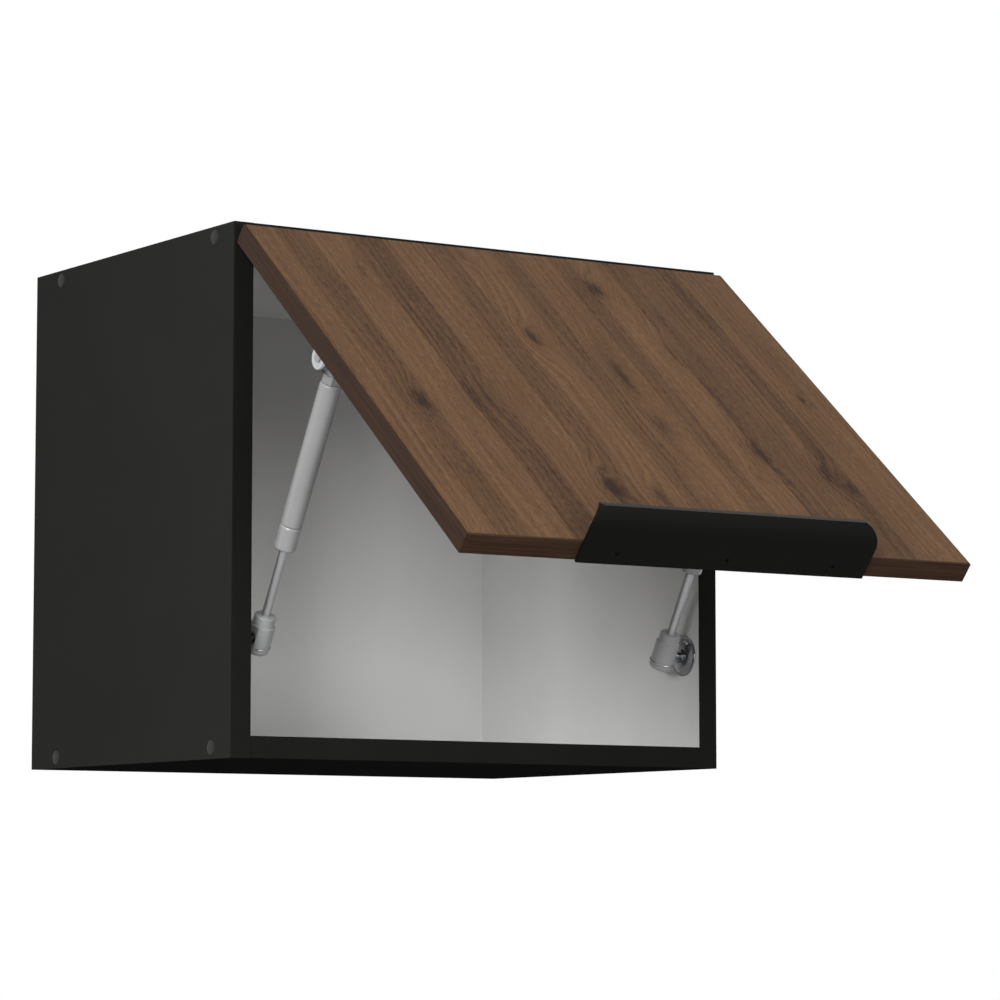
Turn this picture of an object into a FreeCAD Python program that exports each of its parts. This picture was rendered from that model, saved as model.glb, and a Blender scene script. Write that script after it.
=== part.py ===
"""Lift-up wall cabinet: a boarded carcass, a top-hung door on two cup hinges, and two gas struts.

Frame, in millimetres: X runs across the cabinet, Y runs from the room to the wall, Z is up.
The origin lies in the wall plane, at the middle of the cabinet's lower rear edge. The door is
shown open, as far as the fully extended struts let it swing.
"""
import FreeCAD, Part
import math
import os
import Sketcher
from FreeCAD import Placement, Rotation, Vector

# Driving dimensions: name, size in mm or degrees, meaning.
DIMENSIONS = [
    # carcass
    ("width", 400, "outside width of the carcass"),
    ("height", 360, "outside height of the carcass"),
    ("depth", 292, "depth of the carcass without the door"),
    ("board", 15, "thickness of the carcass boards"),
    ("back_thickness", 3, "thickness of the back panel"),
    ("back_inset", 5, "back panel to the wall plane"),
    ("groove_depth", 6, "depth of the groove that holds the back panel"),
    ("edge_band", 0.8, "thickness of the carcass edge bands"),
    ("door_band", 1.2, "thickness of the door's edge bands"),
    ("groove_play", 0.15, "gap around the back panel in its groove"),
    ("bore_play", 0.05, "radial play of a screw, peg or pin in its bore"),
    ("seat_play", 0.3, "gap between pieces that slide past each other"),
    # carcass joints
    ("joint_front", 27, "front edge to the front carcass screw"),
    ("joint_rear", 39, "wall plane to the rear carcass screw"),
    ("dowel_pitch", 32, "carcass screw to its dowel"),
    ("screw_shank", 6.3, "shank diameter of a carcass screw"),
    ("screw_length", 50, "length of a carcass screw"),
    ("screw_head", 9, "head diameter of a carcass screw"),
    ("screw_head_height", 3.5, "head height of a carcass screw"),
    ("screw_sink", 1, "outer face to the head of a carcass screw"),
    ("hex_key", 4, "width of the hexagon socket across its flats"),
    ("hex_depth", 2.6, "depth of the hexagon socket"),
    ("cap_diameter", 10, "diameter of a screw cap"),
    ("cap_height", 0.8, "height of a screw cap over the side panel"),
    ("cap_stub", 1.6, "length of a cap's stub in the hexagon socket"),
    ("dowel_diameter", 8, "diameter of a dowel"),
    ("dowel_length", 34, "length of a dowel"),
    ("dowel_in_side", 11.5, "part of a dowel that is in the side panel"),
    ("dowel_chamfer", 1, "chamfer on a dowel's ends"),
    # door
    ("door_reveal", 1.5, "outer face of a side panel to the door's side edge"),
    ("door_overlap", 2.8, "bottom of the carcass down to the bottom edge of the closed door"),
    ("door_board", 15, "thickness of the door"),
    ("door_arris", 1, "rounding of the door's edges"),
    ("door_gap", 2.6, "front edges of the carcass to the closed door"),
    ("door_drop", 4.8, "top of the carcass to the top edge of the closed door"),
    ("open_angle", 50.14, "swing from closed to open"),
    ("bumper_play", 0.1, "gap between a bumper and the carcass when the door is closed"),
    ("bumper_diameter", 9, "diameter of a door bumper"),
    ("bumper_up", 24, "bottom edge of the door to a bumper"),
    # cup hinges
    ("hinge_from_side", 80, "outer face of a side panel to the middle of a hinge"),
    ("pin_diameter", 2.5, "diameter of the hinge pin"),
    ("pin_depth", 9.5, "back of the door to the hinge pin"),
    ("pin_setback", 7.5, "top edge of the door to the hinge pin"),
    ("cup_setback", 21, "top edge of the door to the middle of the cup"),
    ("cup_diameter", 35, "outer diameter of the cup"),
    ("cup_depth", 13, "depth of the cup in the door"),
    ("cup_wall", 0.8, "wall of the cup and thickness of its flange"),
    ("flange_rim", 1.5, "overlap of the cup's rim on the door"),
    ("wing_width", 58, "width across the cup's wings"),
    ("wing_height", 12, "height of the cup's wings"),
    ("cup_screw_pitch", 45, "distance between the cup's two screws"),
    ("cup_screw_drop", 9.5, "middle of the cup to its screws"),
    ("ear_gap", 0.2, "claw to the ears beside it"),
    ("ear_width", 3.4, "width of an ear that holds the pin"),
    ("ear_below", 3, "hinge pin to the lower side of an ear"),
    ("ear_above", 1.8, "hinge pin to the upper side of an ear"),
    ("ear_reach", 3, "hinge pin to the free end of an ear"),
    ("claw_width", 8, "width of the arm's claw"),
    ("eye_radius", 2.3, "outer radius of the arm's eye"),
    ("arm_width", 16, "width of the arm's channel"),
    ("arm_wall", 1.5, "wall of the arm's channel"),
    ("arm_height", 10.7, "height of the arm's channel"),
    ("arm_drop", 4, "underside of the top panel to the arm's channel"),
    ("arm_setback", 3, "front edge of the top panel to the arm's channel"),
    ("arm_length", 62, "front edge of the top panel to the arm's rear end"),
    ("plate_from_front", 37, "front edge of the top panel to the mounting plate's screws"),
    ("plate_thickness", 2, "thickness of the mounting plate's wings"),
    ("plate_span", 48, "width across the mounting plate's wings"),
    ("wing_length", 16, "front to back length of a wing"),
    ("plate_pitch", 32, "distance between the mounting plate's screws"),
    ("block_length", 42, "length of the mounting plate's block"),
    ("claw_throat", 3.6, "front edge of the top panel to the claw's upward bend"),
    ("claw_drop", 6.7, "hinge pin down to the claw's level part"),
    ("claw_tail", 11.6, "length of the claw's lower slope"),
    ("arm_screw", 5, "diameter of the screw that holds the arm"),
    ("arm_screw_head", 9, "head diameter of the arm's screw"),
    ("arm_screw_head_height", 1.5, "head height of the arm's screw"),
    ("arm_screw_length", 10, "length of the arm's screw"),
    ("cup_screw_head_height", 1.4, "head height of a cup's screw"),
    # gas struts
    ("strut_from_side", 17.2, "inner face of the side panel to the strut"),
    ("side_ball_back", 19.5, "front edges of the carcass to the lower ball"),
    ("side_ball_drop", 263.5, "underside of the top panel to the lower ball"),
    ("door_ball_down", 117.4, "top edge of the door to the upper ball"),
    ("door_ball_reach", 13.8, "back of the door to the upper ball"),
    ("ball_diameter", 8, "diameter of a ball stud's ball"),
    ("neck_diameter", 5, "diameter of a ball stud's neck"),
    ("tube_diameter", 15, "outer diameter of the strut's tube"),
    ("tube_wall", 1, "wall of the strut's tube"),
    ("tube_length", 120.5, "length of the strut's tube"),
    ("tube_end", 4, "thickness of the tube's closed end"),
    ("tube_rounding", 1.5, "rounding at both ends of the tube"),
    ("tube_lip", 1, "thickness of the tube's rolled-in mouth"),
    ("mouth_diameter", 9, "opening in the tube's mouth"),
    ("crimp_width", 2.4, "width of the tube's rolled groove"),
    ("crimp_depth", 0.8, "depth of the tube's rolled groove"),
    ("crimp_from_mouth", 17.2, "mouth of the tube to its rolled groove"),
    ("rod_diameter", 6, "diameter of the piston rod"),
    ("rod_play", 0.08, "radial play of the rod in its guide"),
    ("guide_length", 15.5, "length of the rod guide in the tube's mouth"),
    ("piston_length", 8, "length of the piston"),
    ("socket_diameter", 17.3, "diameter of a ball socket's body"),
    ("socket_rounding", 3, "rounding of a ball socket's open end"),
    ("socket_step", 10.4, "ball to the end of the socket's wide part"),
    ("socket_flat", 6.2, "middle of the ball socket to its flat side"),
    ("collar_diameter", 15, "diameter of a ball socket's collar"),
    ("socket_chamfer", 1, "height of the slope from a socket's wide part to its collar"),
    ("socket_shoulder", 17.4, "ball to the end of the socket that takes the rod"),
    ("socket_tail", 10.4, "ball to the open end of the socket"),
    ("thread_length", 9, "length of rod or stud in the socket"),
    ("clip_wire", 1.4, "wire diameter of a socket's retaining clip"),
    ("clip_angle", 230, "part of a circle that the retaining clip covers"),
    ("clip_offset", 5, "ball to the retaining clip"),
    ("rosette_diameter", 29.5, "diameter of the round plate on the side panel"),
    ("rosette_height", 3, "height of the round plate at its middle"),
    ("rosette_rim", 1, "height of the round plate's rim"),
    ("rosette_crown", 12, "diameter of the round plate's flat middle"),
    ("rosette_floor", 0.8, "thickness of the round plate under its screw heads"),
    ("rosette_pitch", 19.2, "distance between the round plate's screws"),
    ("rosette_angle", 63, "slope of the line through the round plate's screws"),
    ("bracket_thickness", 2, "thickness of the door bracket"),
    ("bracket_length", 46, "length of the door bracket's foot"),
    ("bracket_foot", 8.5, "width of the door bracket's foot"),
    ("bracket_side_gap", 2, "inner face of the side panel to the bracket's ear"),
    ("ear_radius", 8, "radius of the bracket ear's round end"),
    ("bracket_pitch", 32, "distance between the door bracket's screws"),
    ("stud_collar", 13, "diameter of the collar on a ball stud"),
    ("stud_collar_height", 2.6, "height of the collar on a ball stud"),
    ("stud_foot", 10, "diameter of the lower ball stud's foot"),
    ("stud_foot_height", 1.5, "height of the lower ball stud's foot"),
    ("rivet_head", 7, "diameter of the upper ball stud's riveted end"),
    ("rivet_height", 0.8, "height of the upper ball stud's riveted end"),
    # edge pull
    ("pull_length", 226, "length of the edge pull"),
    ("pull_overhang", 0.5, "edge pull's plate behind the back of the door"),
    ("pull_plate", 2, "thickness of the edge pull's plate"),
    ("pull_flat", 20, "back of the door to the start of the pull's curve"),
    ("pull_reach", 39.4, "back of the door to the tip of the pull"),
    ("pull_rise", 5.8, "door's bottom edge to the tip of the pull, measured up the door"),
    ("lip_reach", 34.6, "back of the door to the inner edge of the pull's lip"),
    ("lip_rise", 14, "door's bottom edge to the inner edge of the pull's lip"),
    ("scoop_start", 24, "back of the door to the foot of the finger scoop"),
    ("scoop_radius", 22, "radius of the finger scoop"),
    ("pull_radius", 27, "radius of the pull's outer curve"),
    ("pull_corner", 17, "radius of the pull's rounded corners"),
    ("pull_corner_start", 23.5, "back of the door to where the corners start"),
    ("pull_corner_cut", 13.5, "length that the corners take off the tip at each end"),
    ("pull_edge", 0.5, "rounding of the lip's edges"),
    ("pull_screw_pitch", 85, "distance between the edge pull's screws"),
    # wall hangers
    ("hanger_width", 22, "width of a hanger's box"),
    ("hanger_height", 60, "height of a hanger's box"),
    ("hanger_depth", 30, "depth of a hanger's box"),
    ("hanger_wall", 1.6, "wall of a hanger's box"),
    ("peg_diameter", 10, "diameter of a hanger's pegs"),
    ("peg_length", 10, "length of a hanger's pegs"),
    ("peg_pitch", 32, "distance between a hanger's pegs"),
    ("hook_thickness", 2.5, "thickness of the hanger's hook"),
    ("hook_lip", 2.2, "thickness of the hook's lip"),
    ("hook_tongue", 12, "height of the hook's tongue through the back panel"),
    ("hook_play", 0.3, "gap around the hook"),
    ("hook_drop", 14, "height of the gap behind the hook's lip"),
    ("hook_below", 15, "underside of the top panel to the top of the hook"),
    ("hanger_screw", 5, "diameter of a hanger's adjusting screw"),
    ("hanger_screw_head", 9, "head diameter of an adjusting screw"),
    ("hanger_screw_head_height", 2.2, "head height of an adjusting screw"),
    ("hanger_screw_length", 6, "length of an adjusting screw"),
    ("hanger_screw_up", 12, "lower end of the hanger's box to its lower screw"),
    # small screws
    ("chip_shank", 3.5, "shank diameter of a small wood screw"),
    ("chip_head", 6.6, "head diameter of a small wood screw"),
    ("chip_length", 13, "length of a small wood screw"),
    ("pan_head", 6, "diameter of a small wood screw's raised head"),
    ("pan_head_height", 1.4, "height of a small wood screw's raised head"),
    ("side_screw_length", 12, "length of the screws in the side panels"),
]

doc = FreeCAD.newDocument("lift_up_wall_cabinet")
sheet = doc.addObject("Spreadsheet::Sheet", "sizes")


class Size:
    """A length that carries its value and its formula in the sheet, so that both stay together."""

    def __init__(self, value, formula):
        self.value = value
        self.formula = formula

    def joined(self, other, sign, swap=False):
        other = other if isinstance(other, Size) else Size(other, repr(other))
        first, second = (other, self) if swap else (self, other)
        results = {
            "+": first.value + second.value,
            "-": first.value - second.value,
            "*": first.value * second.value,
        }
        value = first.value / second.value if sign == "/" else results[sign]
        return Size(value, f"({first.formula} {sign} {second.formula})")

    def __add__(self, other):
        return self.joined(other, "+")

    __radd__ = __add__

    def __sub__(self, other):
        return self.joined(other, "-")

    def __rsub__(self, other):
        return self.joined(other, "-", swap=True)

    def __mul__(self, other):
        return self.joined(other, "*")

    __rmul__ = __mul__

    def __truediv__(self, other):
        return self.joined(other, "/")

    def __neg__(self):
        return self.joined(-1, "*")


def number(size):
    """The plain number of a Size, or of a number."""
    return size.value if isinstance(size, Size) else size


def leg(long_side, short_side):
    """The other short side of a right-angled triangle."""
    value = math.sqrt(long_side.value ** 2 - short_side.value ** 2)
    squares = [f"{side.formula} * {side.formula}" for side in (long_side, short_side)]
    return Size(value, f"sqrt({squares[0]} - {squares[1]})")


def cell(row, alias, value, note):
    """One named size in the sheet."""
    sheet.set(f"A{row}", alias)
    sheet.set(f"B{row}", str(value))
    sheet.set(f"C{row}", note)
    sheet.setAlias(f"B{row}", alias)
    return Size(value, f"sizes.{alias}")


class Sizes:
    """All named sizes, as attributes."""


s = Sizes()
for row, (alias, value, note) in enumerate(DIMENSIONS, start=1):
    setattr(s, alias, cell(row, alias, value, note))
doc.recompute()

# ---------------------------------------------------------------- places that several pieces share
HALF = s.width / 2
INNER = HALF - s.board
FRONT = -s.depth
UNDER_TOP = s.height - s.board
DOOR_BACK = FRONT - s.door_gap
DOOR_TOP = s.height - s.door_drop
DOOR_BOTTOM = -s.door_overlap
PIN_Y = DOOR_BACK - s.pin_depth
PIN_Z = DOOR_TOP - s.pin_setback
CUP_Z = DOOR_TOP - s.cup_setback
STRUT_X = INNER - s.strut_from_side
HINGE_X = HALF - s.hinge_from_side
SIDE_BALL_Y = FRONT + s.side_ball_back
SIDE_BALL_Z = UNDER_TOP - s.side_ball_drop
DOOR_BALL_Y = DOOR_BACK + s.door_ball_reach
DOOR_BALL_Z = DOOR_TOP - s.door_ball_down
BACK_FACE = -s.back_inset - s.back_thickness
JOINT_YS = (FRONT + s.joint_front, -s.joint_rear)
DOWEL_YS = (FRONT + s.joint_front + s.dowel_pitch, -s.joint_rear - s.dowel_pitch)
JOINT_ZS = (s.board / 2, s.height - s.board / 2)

# The door and all that is on it is drawn closed and then swung open about the hinge pins.
DOOR_SWING = Placement(
    Vector(),
    Rotation(Vector(-1, 0, 0), number(s.open_angle)),
    Vector(0, number(PIN_Y), number(PIN_Z)),
)
SIDE_BALL = Vector(-number(STRUT_X), number(SIDE_BALL_Y), number(SIDE_BALL_Z))
DOOR_BALL = DOOR_SWING.multVec(Vector(-number(STRUT_X), number(DOOR_BALL_Y), number(DOOR_BALL_Z)))
STRUT_LENGTH = cell(len(DIMENSIONS) + 1, "strut_length", (DOOR_BALL - SIDE_BALL).Length, "ball to ball")
MOUTH = STRUT_LENGTH - s.socket_shoulder - s.tube_length
# A strut is drawn upright from its lower ball and then leant towards the upper one.
STRUT_LEAN = Placement(SIDE_BALL, Rotation(Vector(0, 0, 1), DOOR_BALL - SIDE_BALL))

TO_PLUS_X = Rotation(Vector(0, 1, 0), 90)
TO_MINUS_X = Rotation(Vector(0, 1, 0), -90)
TO_MINUS_Y = Rotation(Vector(1, 0, 0), 90)
TO_PLUS_Y = Rotation(Vector(1, 0, 0), -90)
UPSIDE_DOWN = Rotation(Vector(1, 0, 0), 180)

# Two lengths in mm that differ by less than this are the same.
SAME_PLACE = 1e-6

nodes = []


# ---------------------------------------------------------------- drawing helpers
def at(x, y, z, rotation=Rotation(), swing=Placement()):
    """A placement at a point, turned, and carried by the door or a strut where one is named."""
    return swing.multiply(Placement(Vector(number(x), number(y), number(z)), rotation))


def new_body(label):
    body = doc.addObject("PartDesign::Body", label)
    body.Label = label
    return body


def bind(target, path, size):
    """Tie a property to the sheet where the size comes from it."""
    if isinstance(size, Size):
        target.setExpression(path, size.formula)


def new_sketch(body, plane, offset=0):
    """An empty sketch on one of the body's own planes, moved along the plane's normal."""
    sketch = body.newObject("Sketcher::SketchObject", body.Name + "_outline")
    role = {"XY": "XY_Plane", "XZ": "XZ_Plane", "YZ": "YZ_Plane"}[plane]
    support = next(f for f in body.Origin.OriginFeatures if f.Role == role)
    sketch.AttachmentSupport = [(support, "")]
    sketch.MapMode = "FlatFace"
    sketch.AttachmentOffset = Placement(Vector(0, 0, number(offset)), Rotation())
    bind(sketch, "AttachmentOffset.Base.z", offset)
    return sketch


def pin_point(sketch, geometry, end, x, y):
    """Fix one point of a sketch at named sizes."""
    for kind, axis, size in (("DistanceX", -2, x), ("DistanceY", -1, y)):
        if not isinstance(size, Size) and size == 0:
            sketch.addConstraint(Sketcher.Constraint("PointOnObject", geometry, end, axis))
            continue
        index = sketch.addConstraint(Sketcher.Constraint(kind, geometry, end, number(size)))
        bind(sketch, f"Constraints[{index}]", size)


def arc_middle(start, end, radius):
    """The middle of an arc; a positive radius bulges to the right of the way."""
    chord = end - start
    half = chord.Length / 2
    side = Vector(chord.y, -chord.x, 0).normalize()
    rise = abs(radius) - math.sqrt(max(radius ** 2 - half ** 2, 0))
    middle = (start + end) / 2 + side * math.copysign(rise, radius)
    return middle


def add_outline(sketch, points):
    """A closed outline. A point is (x, y), or (x, y, radius) where an arc runs to the next one."""
    vectors = [Vector(number(p[0]), number(p[1]), 0) for p in points]
    first = sketch.GeometryCount
    ends = []
    for index, point in enumerate(points):
        start, end = vectors[index], vectors[(index + 1) % len(points)]
        if len(point) == 2:
            sketch.addGeometry(Part.LineSegment(start, end))
            ends.append((1, 2))
            continue
        middle = arc_middle(start, end, number(point[2]))
        # A sketch keeps its arcs anticlockwise.
        anticlockwise = (middle - start).cross(end - middle).z > 0
        arc = Part.Arc(start, middle, end) if anticlockwise else Part.Arc(end, middle, start)
        sketch.addGeometry(arc)
        ends.append((1, 2) if anticlockwise else (2, 1))
    for index, point in enumerate(points):
        here, after = first + index, first + (index + 1) % len(points)
        following = ends[(index + 1) % len(points)]
        joint = Sketcher.Constraint("Coincident", here, ends[index][1], after, following[0])
        sketch.addConstraint(joint)
        pin_point(sketch, here, ends[index][0], point[0], point[1])
        if len(point) == 3:
            radius = sketch.addConstraint(Sketcher.Constraint("Radius", here, abs(number(point[2]))))
            if isinstance(point[2], Size):
                bind(sketch, f"Constraints[{radius}]", point[2] if number(point[2]) > 0 else -point[2])


def add_circle(sketch, x, y, diameter):
    geometry = sketch.addGeometry(
        Part.Circle(Vector(number(x), number(y), 0), Vector(0, 0, 1), number(diameter) / 2)
    )
    index = sketch.addConstraint(Sketcher.Constraint("Diameter", geometry, number(diameter)))
    bind(sketch, f"Constraints[{index}]", diameter)
    pin_point(sketch, geometry, 3, x, y)


def box_points(x0, x1, y0, y1):
    return [(x0, y0), (x1, y0), (x1, y1), (x0, y1)]


def outline(body, plane, points, offset=0):
    sketch = new_sketch(body, plane, offset)
    add_outline(sketch, points)
    return sketch


def circles(body, plane, places, diameter, offset=0):
    sketch = new_sketch(body, plane, offset)
    for x, y in places:
        add_circle(sketch, x, y, diameter)
    return sketch


def pad(body, sketch, length, middle=False, back=False):
    feature = body.newObject("PartDesign::Pad", body.Name + "_pad")
    feature.Profile = sketch
    feature.Length = number(length)
    bind(feature, "Length", length)
    feature.SideType = "Symmetric" if middle else "One side"
    feature.Reversed = back
    doc.recompute()
    return feature


def cut(body, sketch, depth=None, middle=False, back=False):
    """A pocket of the given depth, or right through, which has to take something away."""
    before = body.Shape.Volume
    feature = body.newObject("PartDesign::Pocket", body.Name + "_pocket")
    feature.Profile = sketch
    if depth is None:
        feature.Type = "ThroughAll"
    else:
        feature.Length = number(depth)
        bind(feature, "Length", depth)
    feature.SideType = "Symmetric" if middle else "One side"
    feature.Reversed = back
    doc.recompute()
    if body.Shape.Volume > before - 1e-3:
        raise RuntimeError(f"{feature.Label} of {body.Label} cuts nothing")
    return feature


def turned(body, points):
    """A body turned about its own Z axis from an outline of (radius, height) points."""
    sketch = outline(body, "XZ", points)
    feature = body.newObject("PartDesign::Revolution", body.Name + "_turned")
    feature.Profile = sketch
    feature.ReferenceAxis = (sketch, ["V_Axis"])
    doc.recompute()
    return feature


def rounded(body, radius, wanted):
    """Round the edges that the test picks."""
    names = [f"Edge{n}" for n, edge in enumerate(body.Shape.Edges, start=1) if wanted(edge)]
    base = body.Tip
    feature = body.newObject("PartDesign::Fillet", body.Name + "_rounding")
    feature.Base = (base, names)
    feature.Radius = number(radius)
    bind(feature, "Radius", radius)
    doc.recompute()
    return feature


def keep(node, placement=None):
    """Place a finished sub-part and list it for export."""
    if placement is not None:
        node.Placement = placement
    nodes.append(node)
    return node


def mirrored(node, label):
    """The same sub-part on the right-hand side of the cabinet."""
    twin = doc.addObject("Part::Mirroring", label)
    twin.Label = label
    twin.Source = node
    twin.Normal = Vector(1, 0, 0)
    return keep(twin)


def pair(node, placement=None):
    """A left-hand sub-part and its right-hand twin."""
    keep(node, placement)
    return mirrored(node, node.Label.replace("left", "right"))


def group(label, pattern, placements):
    """Identical small pieces, each a solid of its own, in one node."""
    doc.recompute()
    solids = []
    for placement in placements:
        solid = pattern.Shape.copy()
        solid.Placement = placement
        solids.append(solid)
    node = doc.addObject("Part::Feature", label)
    node.Label = label
    node.Shape = Part.makeCompound(solids)
    return keep(node)


def both_sides(x, y, z, rotation_left, rotation_right):
    """Placements at -x and at +x."""
    return [at(-x, y, z, rotation_left), at(x, y, z, rotation_right)]


def screw(label, shank, head, head_height, length, flat=False):
    """A screw that points down from its head's top face; a flat head is countersunk."""
    body = new_body(label)
    under_head = shank / 2 if flat else head / 2
    turned(
        body,
        [(0, 0), (head / 2, 0), (under_head, -head_height), (shank / 2, -head_height)][: 3 if flat else 4]
        + [(shank / 2, shank / 2 - length), (0, -length)],
    )
    return body


def hexagon(width):
    side, half = width / math.sqrt(3), width / 2
    corners = [(side, 0), (side / 2, half), (-side / 2, half)]
    return corners + [(-side, 0), (-side / 2, -half), (side / 2, -half)]


# ---------------------------------------------------------------- carcass boards
SINK = s.screw_sink + s.screw_head_height
BAND_Y = FRONT + s.edge_band
GROOVE_FRONT = BACK_FACE - s.groove_play
GROOVE_BACK = s.groove_play - s.back_inset
HANGER_Y = BACK_FACE - s.hanger_depth / 2
HANGER_Z = UNDER_TOP - s.hanger_height / 2
PEG_ZS = (HANGER_Z - s.peg_pitch / 2, HANGER_Z + s.peg_pitch / 2)
ROSETTE_TURN = math.radians(number(s.rosette_angle))
ROSETTE_DY = s.rosette_pitch / 2 * math.cos(ROSETTE_TURN)
ROSETTE_DZ = s.rosette_pitch / 2 * math.sin(ROSETTE_TURN)
ROSETTE_SCREWS = [
    (SIDE_BALL_Y + ROSETTE_DY, SIDE_BALL_Z - ROSETTE_DZ),
    (SIDE_BALL_Y - ROSETTE_DY, SIDE_BALL_Z + ROSETTE_DZ),
]
joint_places = [(y, z) for y in JOINT_YS for z in JOINT_ZS]
dowel_places = [(y, z) for y in DOWEL_YS for z in JOINT_ZS]

side_left = new_body("side_panel_left")
pad(side_left, outline(side_left, "YZ", box_points(BAND_Y, 0, 0, s.height), -HALF), s.board)
cut(
    side_left,
    outline(side_left, "YZ", box_points(GROOVE_FRONT, GROOVE_BACK, 0, s.height), -INNER),
    s.groove_depth + s.groove_play,
)
cut(side_left, circles(side_left, "YZ", joint_places, s.screw_shank + 2 * s.bore_play), middle=True)
cut(
    side_left,
    circles(side_left, "YZ", joint_places, s.screw_head + 2 * s.bore_play, -HALF),
    SINK,
    back=True,
)
cut(
    side_left,
    circles(side_left, "YZ", dowel_places, s.dowel_diameter + 2 * s.bore_play, -INNER),
    s.dowel_in_side + s.bore_play,
)
cut(
    side_left,
    circles(side_left, "YZ", ROSETTE_SCREWS, s.chip_shank + 2 * s.bore_play, -INNER),
    s.side_screw_length - s.pan_head_height - s.rosette_floor + s.bore_play,
)
cut(
    side_left,
    circles(side_left, "YZ", [(HANGER_Y, z) for z in PEG_ZS], s.peg_diameter + 2 * s.bore_play, -INNER),
    s.peg_length + s.bore_play,
)
pair(side_left)


def level_panel(label, low, groove_from, groove_back):
    """The bottom or top panel, between the sides, with its groove and the bores in its ends."""
    body = new_body(label)
    pad(body, outline(body, "XY", box_points(-INNER, INNER, BAND_Y, 0), low), s.board)
    groove = outline(body, "XY", box_points(-INNER, INNER, GROOVE_FRONT, GROOVE_BACK), groove_from)
    cut(body, groove, s.groove_depth + s.groove_play, back=groove_back)
    middle = low + s.board / 2
    for ys, diameter, depth in (
        (JOINT_YS, s.screw_shank, s.screw_length + s.screw_sink - s.board),
        (DOWEL_YS, s.dowel_diameter, s.dowel_length - s.dowel_in_side),
    ):
        for end, back in ((INNER, False), (-INNER, True)):
            places = [(y, middle) for y in ys]
            bores = circles(body, "YZ", places, diameter + 2 * s.bore_play, end)
            cut(body, bores, depth + s.bore_play, back=back)
    return body


keep(level_panel("bottom_panel", Size(0, "0"), s.board, False))
top = level_panel("top_panel", UNDER_TOP, UNDER_TOP, True)
PLATE_Y = FRONT + s.plate_from_front
plate_places = [
    (side * HINGE_X + end * s.plate_pitch / 2, PLATE_Y) for side in (-1, 1) for end in (-1, 1)
]
cut(
    top,
    circles(top, "XY", plate_places, s.chip_shank + 2 * s.bore_play, UNDER_TOP),
    s.chip_length - s.plate_thickness + s.bore_play,
    back=True,
)
keep(top)

back_panel = new_body("back_panel")
BACK_HALF = INNER + s.groove_depth
BACK_LOW = s.board - s.groove_depth
BACK_HIGH = UNDER_TOP + s.groove_depth
pad(
    back_panel,
    outline(back_panel, "XZ", box_points(-BACK_HALF, BACK_HALF, BACK_LOW, BACK_HIGH), s.back_inset),
    s.back_thickness,
)
HOOK_X = INNER - s.hanger_width / 2
HOOK_TOP = UNDER_TOP - s.hook_below
HOOK_SLOT = s.hook_thickness / 2 + s.hook_play
HOOK_LOW = HOOK_TOP - s.hook_tongue
for side in (-1, 1):
    slot = box_points(
        side * HOOK_X - HOOK_SLOT,
        side * HOOK_X + HOOK_SLOT,
        HOOK_LOW - s.hook_drop - s.hook_play,
        HOOK_TOP + s.hook_play,
    )
    cut(back_panel, outline(back_panel, "XZ", slot, s.back_inset), middle=True)
keep(back_panel)


def strips(label, faces, sketch_plane, offset, thickness):
    """Edge bands: a solid for each strip, in one node."""
    bodies = []
    for name, points in faces.items():
        body = new_body(f"{label}_{name}")
        pad(body, outline(body, sketch_plane, points, offset), thickness)
        bodies.append(body)
    node = doc.addObject("Part::Compound", label)
    node.Label = label
    node.Links = bodies
    return node


keep(
    strips(
        "carcass_edge_bands",
        {
            "left": box_points(-HALF, -INNER, 0, s.height),
            "right": box_points(INNER, HALF, 0, s.height),
            "bottom": box_points(-INNER, INNER, 0, s.board),
            "top": box_points(-INNER, INNER, UNDER_TOP, s.height),
        },
        "XZ",
        -BAND_Y,
        s.edge_band,
    )
)

carcass_screw = screw("carcass_screw", s.screw_shank, s.screw_head, s.screw_head_height, s.screw_length)
cut(carcass_screw, outline(carcass_screw, "XY", hexagon(s.hex_key)), s.hex_depth)
group(
    "carcass_screws",
    carcass_screw,
    [p for y, z in joint_places for p in both_sides(HALF - s.screw_sink, y, z, TO_MINUS_X, TO_PLUS_X)],
)

dowel = new_body("dowel")
DOWEL_R = s.dowel_diameter / 2
turned(
    dowel,
    [
        (0, 0),
        (DOWEL_R - s.dowel_chamfer, 0),
        (DOWEL_R, s.dowel_chamfer),
        (DOWEL_R, s.dowel_length - s.dowel_chamfer),
        (DOWEL_R - s.dowel_chamfer, s.dowel_length),
        (0, s.dowel_length),
    ],
)
DOWEL_X = INNER + s.dowel_in_side
group(
    "dowels",
    dowel,
    [p for y in DOWEL_YS for z in JOINT_ZS for p in both_sides(DOWEL_X, y, z, TO_PLUS_X, TO_MINUS_X)],
)

cap = new_body("screw_cap")
CAP_R = s.cap_diameter / 2
STUB_R = s.hex_key / 2 - s.bore_play
turned(
    cap,
    [
        (0, -s.screw_sink - s.cap_stub),
        (STUB_R, -s.screw_sink - s.cap_stub),
        (STUB_R, 0),
        (CAP_R, 0),
        (CAP_R, s.cap_height / 2),
        (CAP_R - s.cap_height / 2, s.cap_height),
        (0, s.cap_height),
    ],
)
group(
    "screw_caps",
    cap,
    [p for y, z in joint_places for p in both_sides(HALF, y, z, TO_MINUS_X, TO_PLUS_X)],
)

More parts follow.
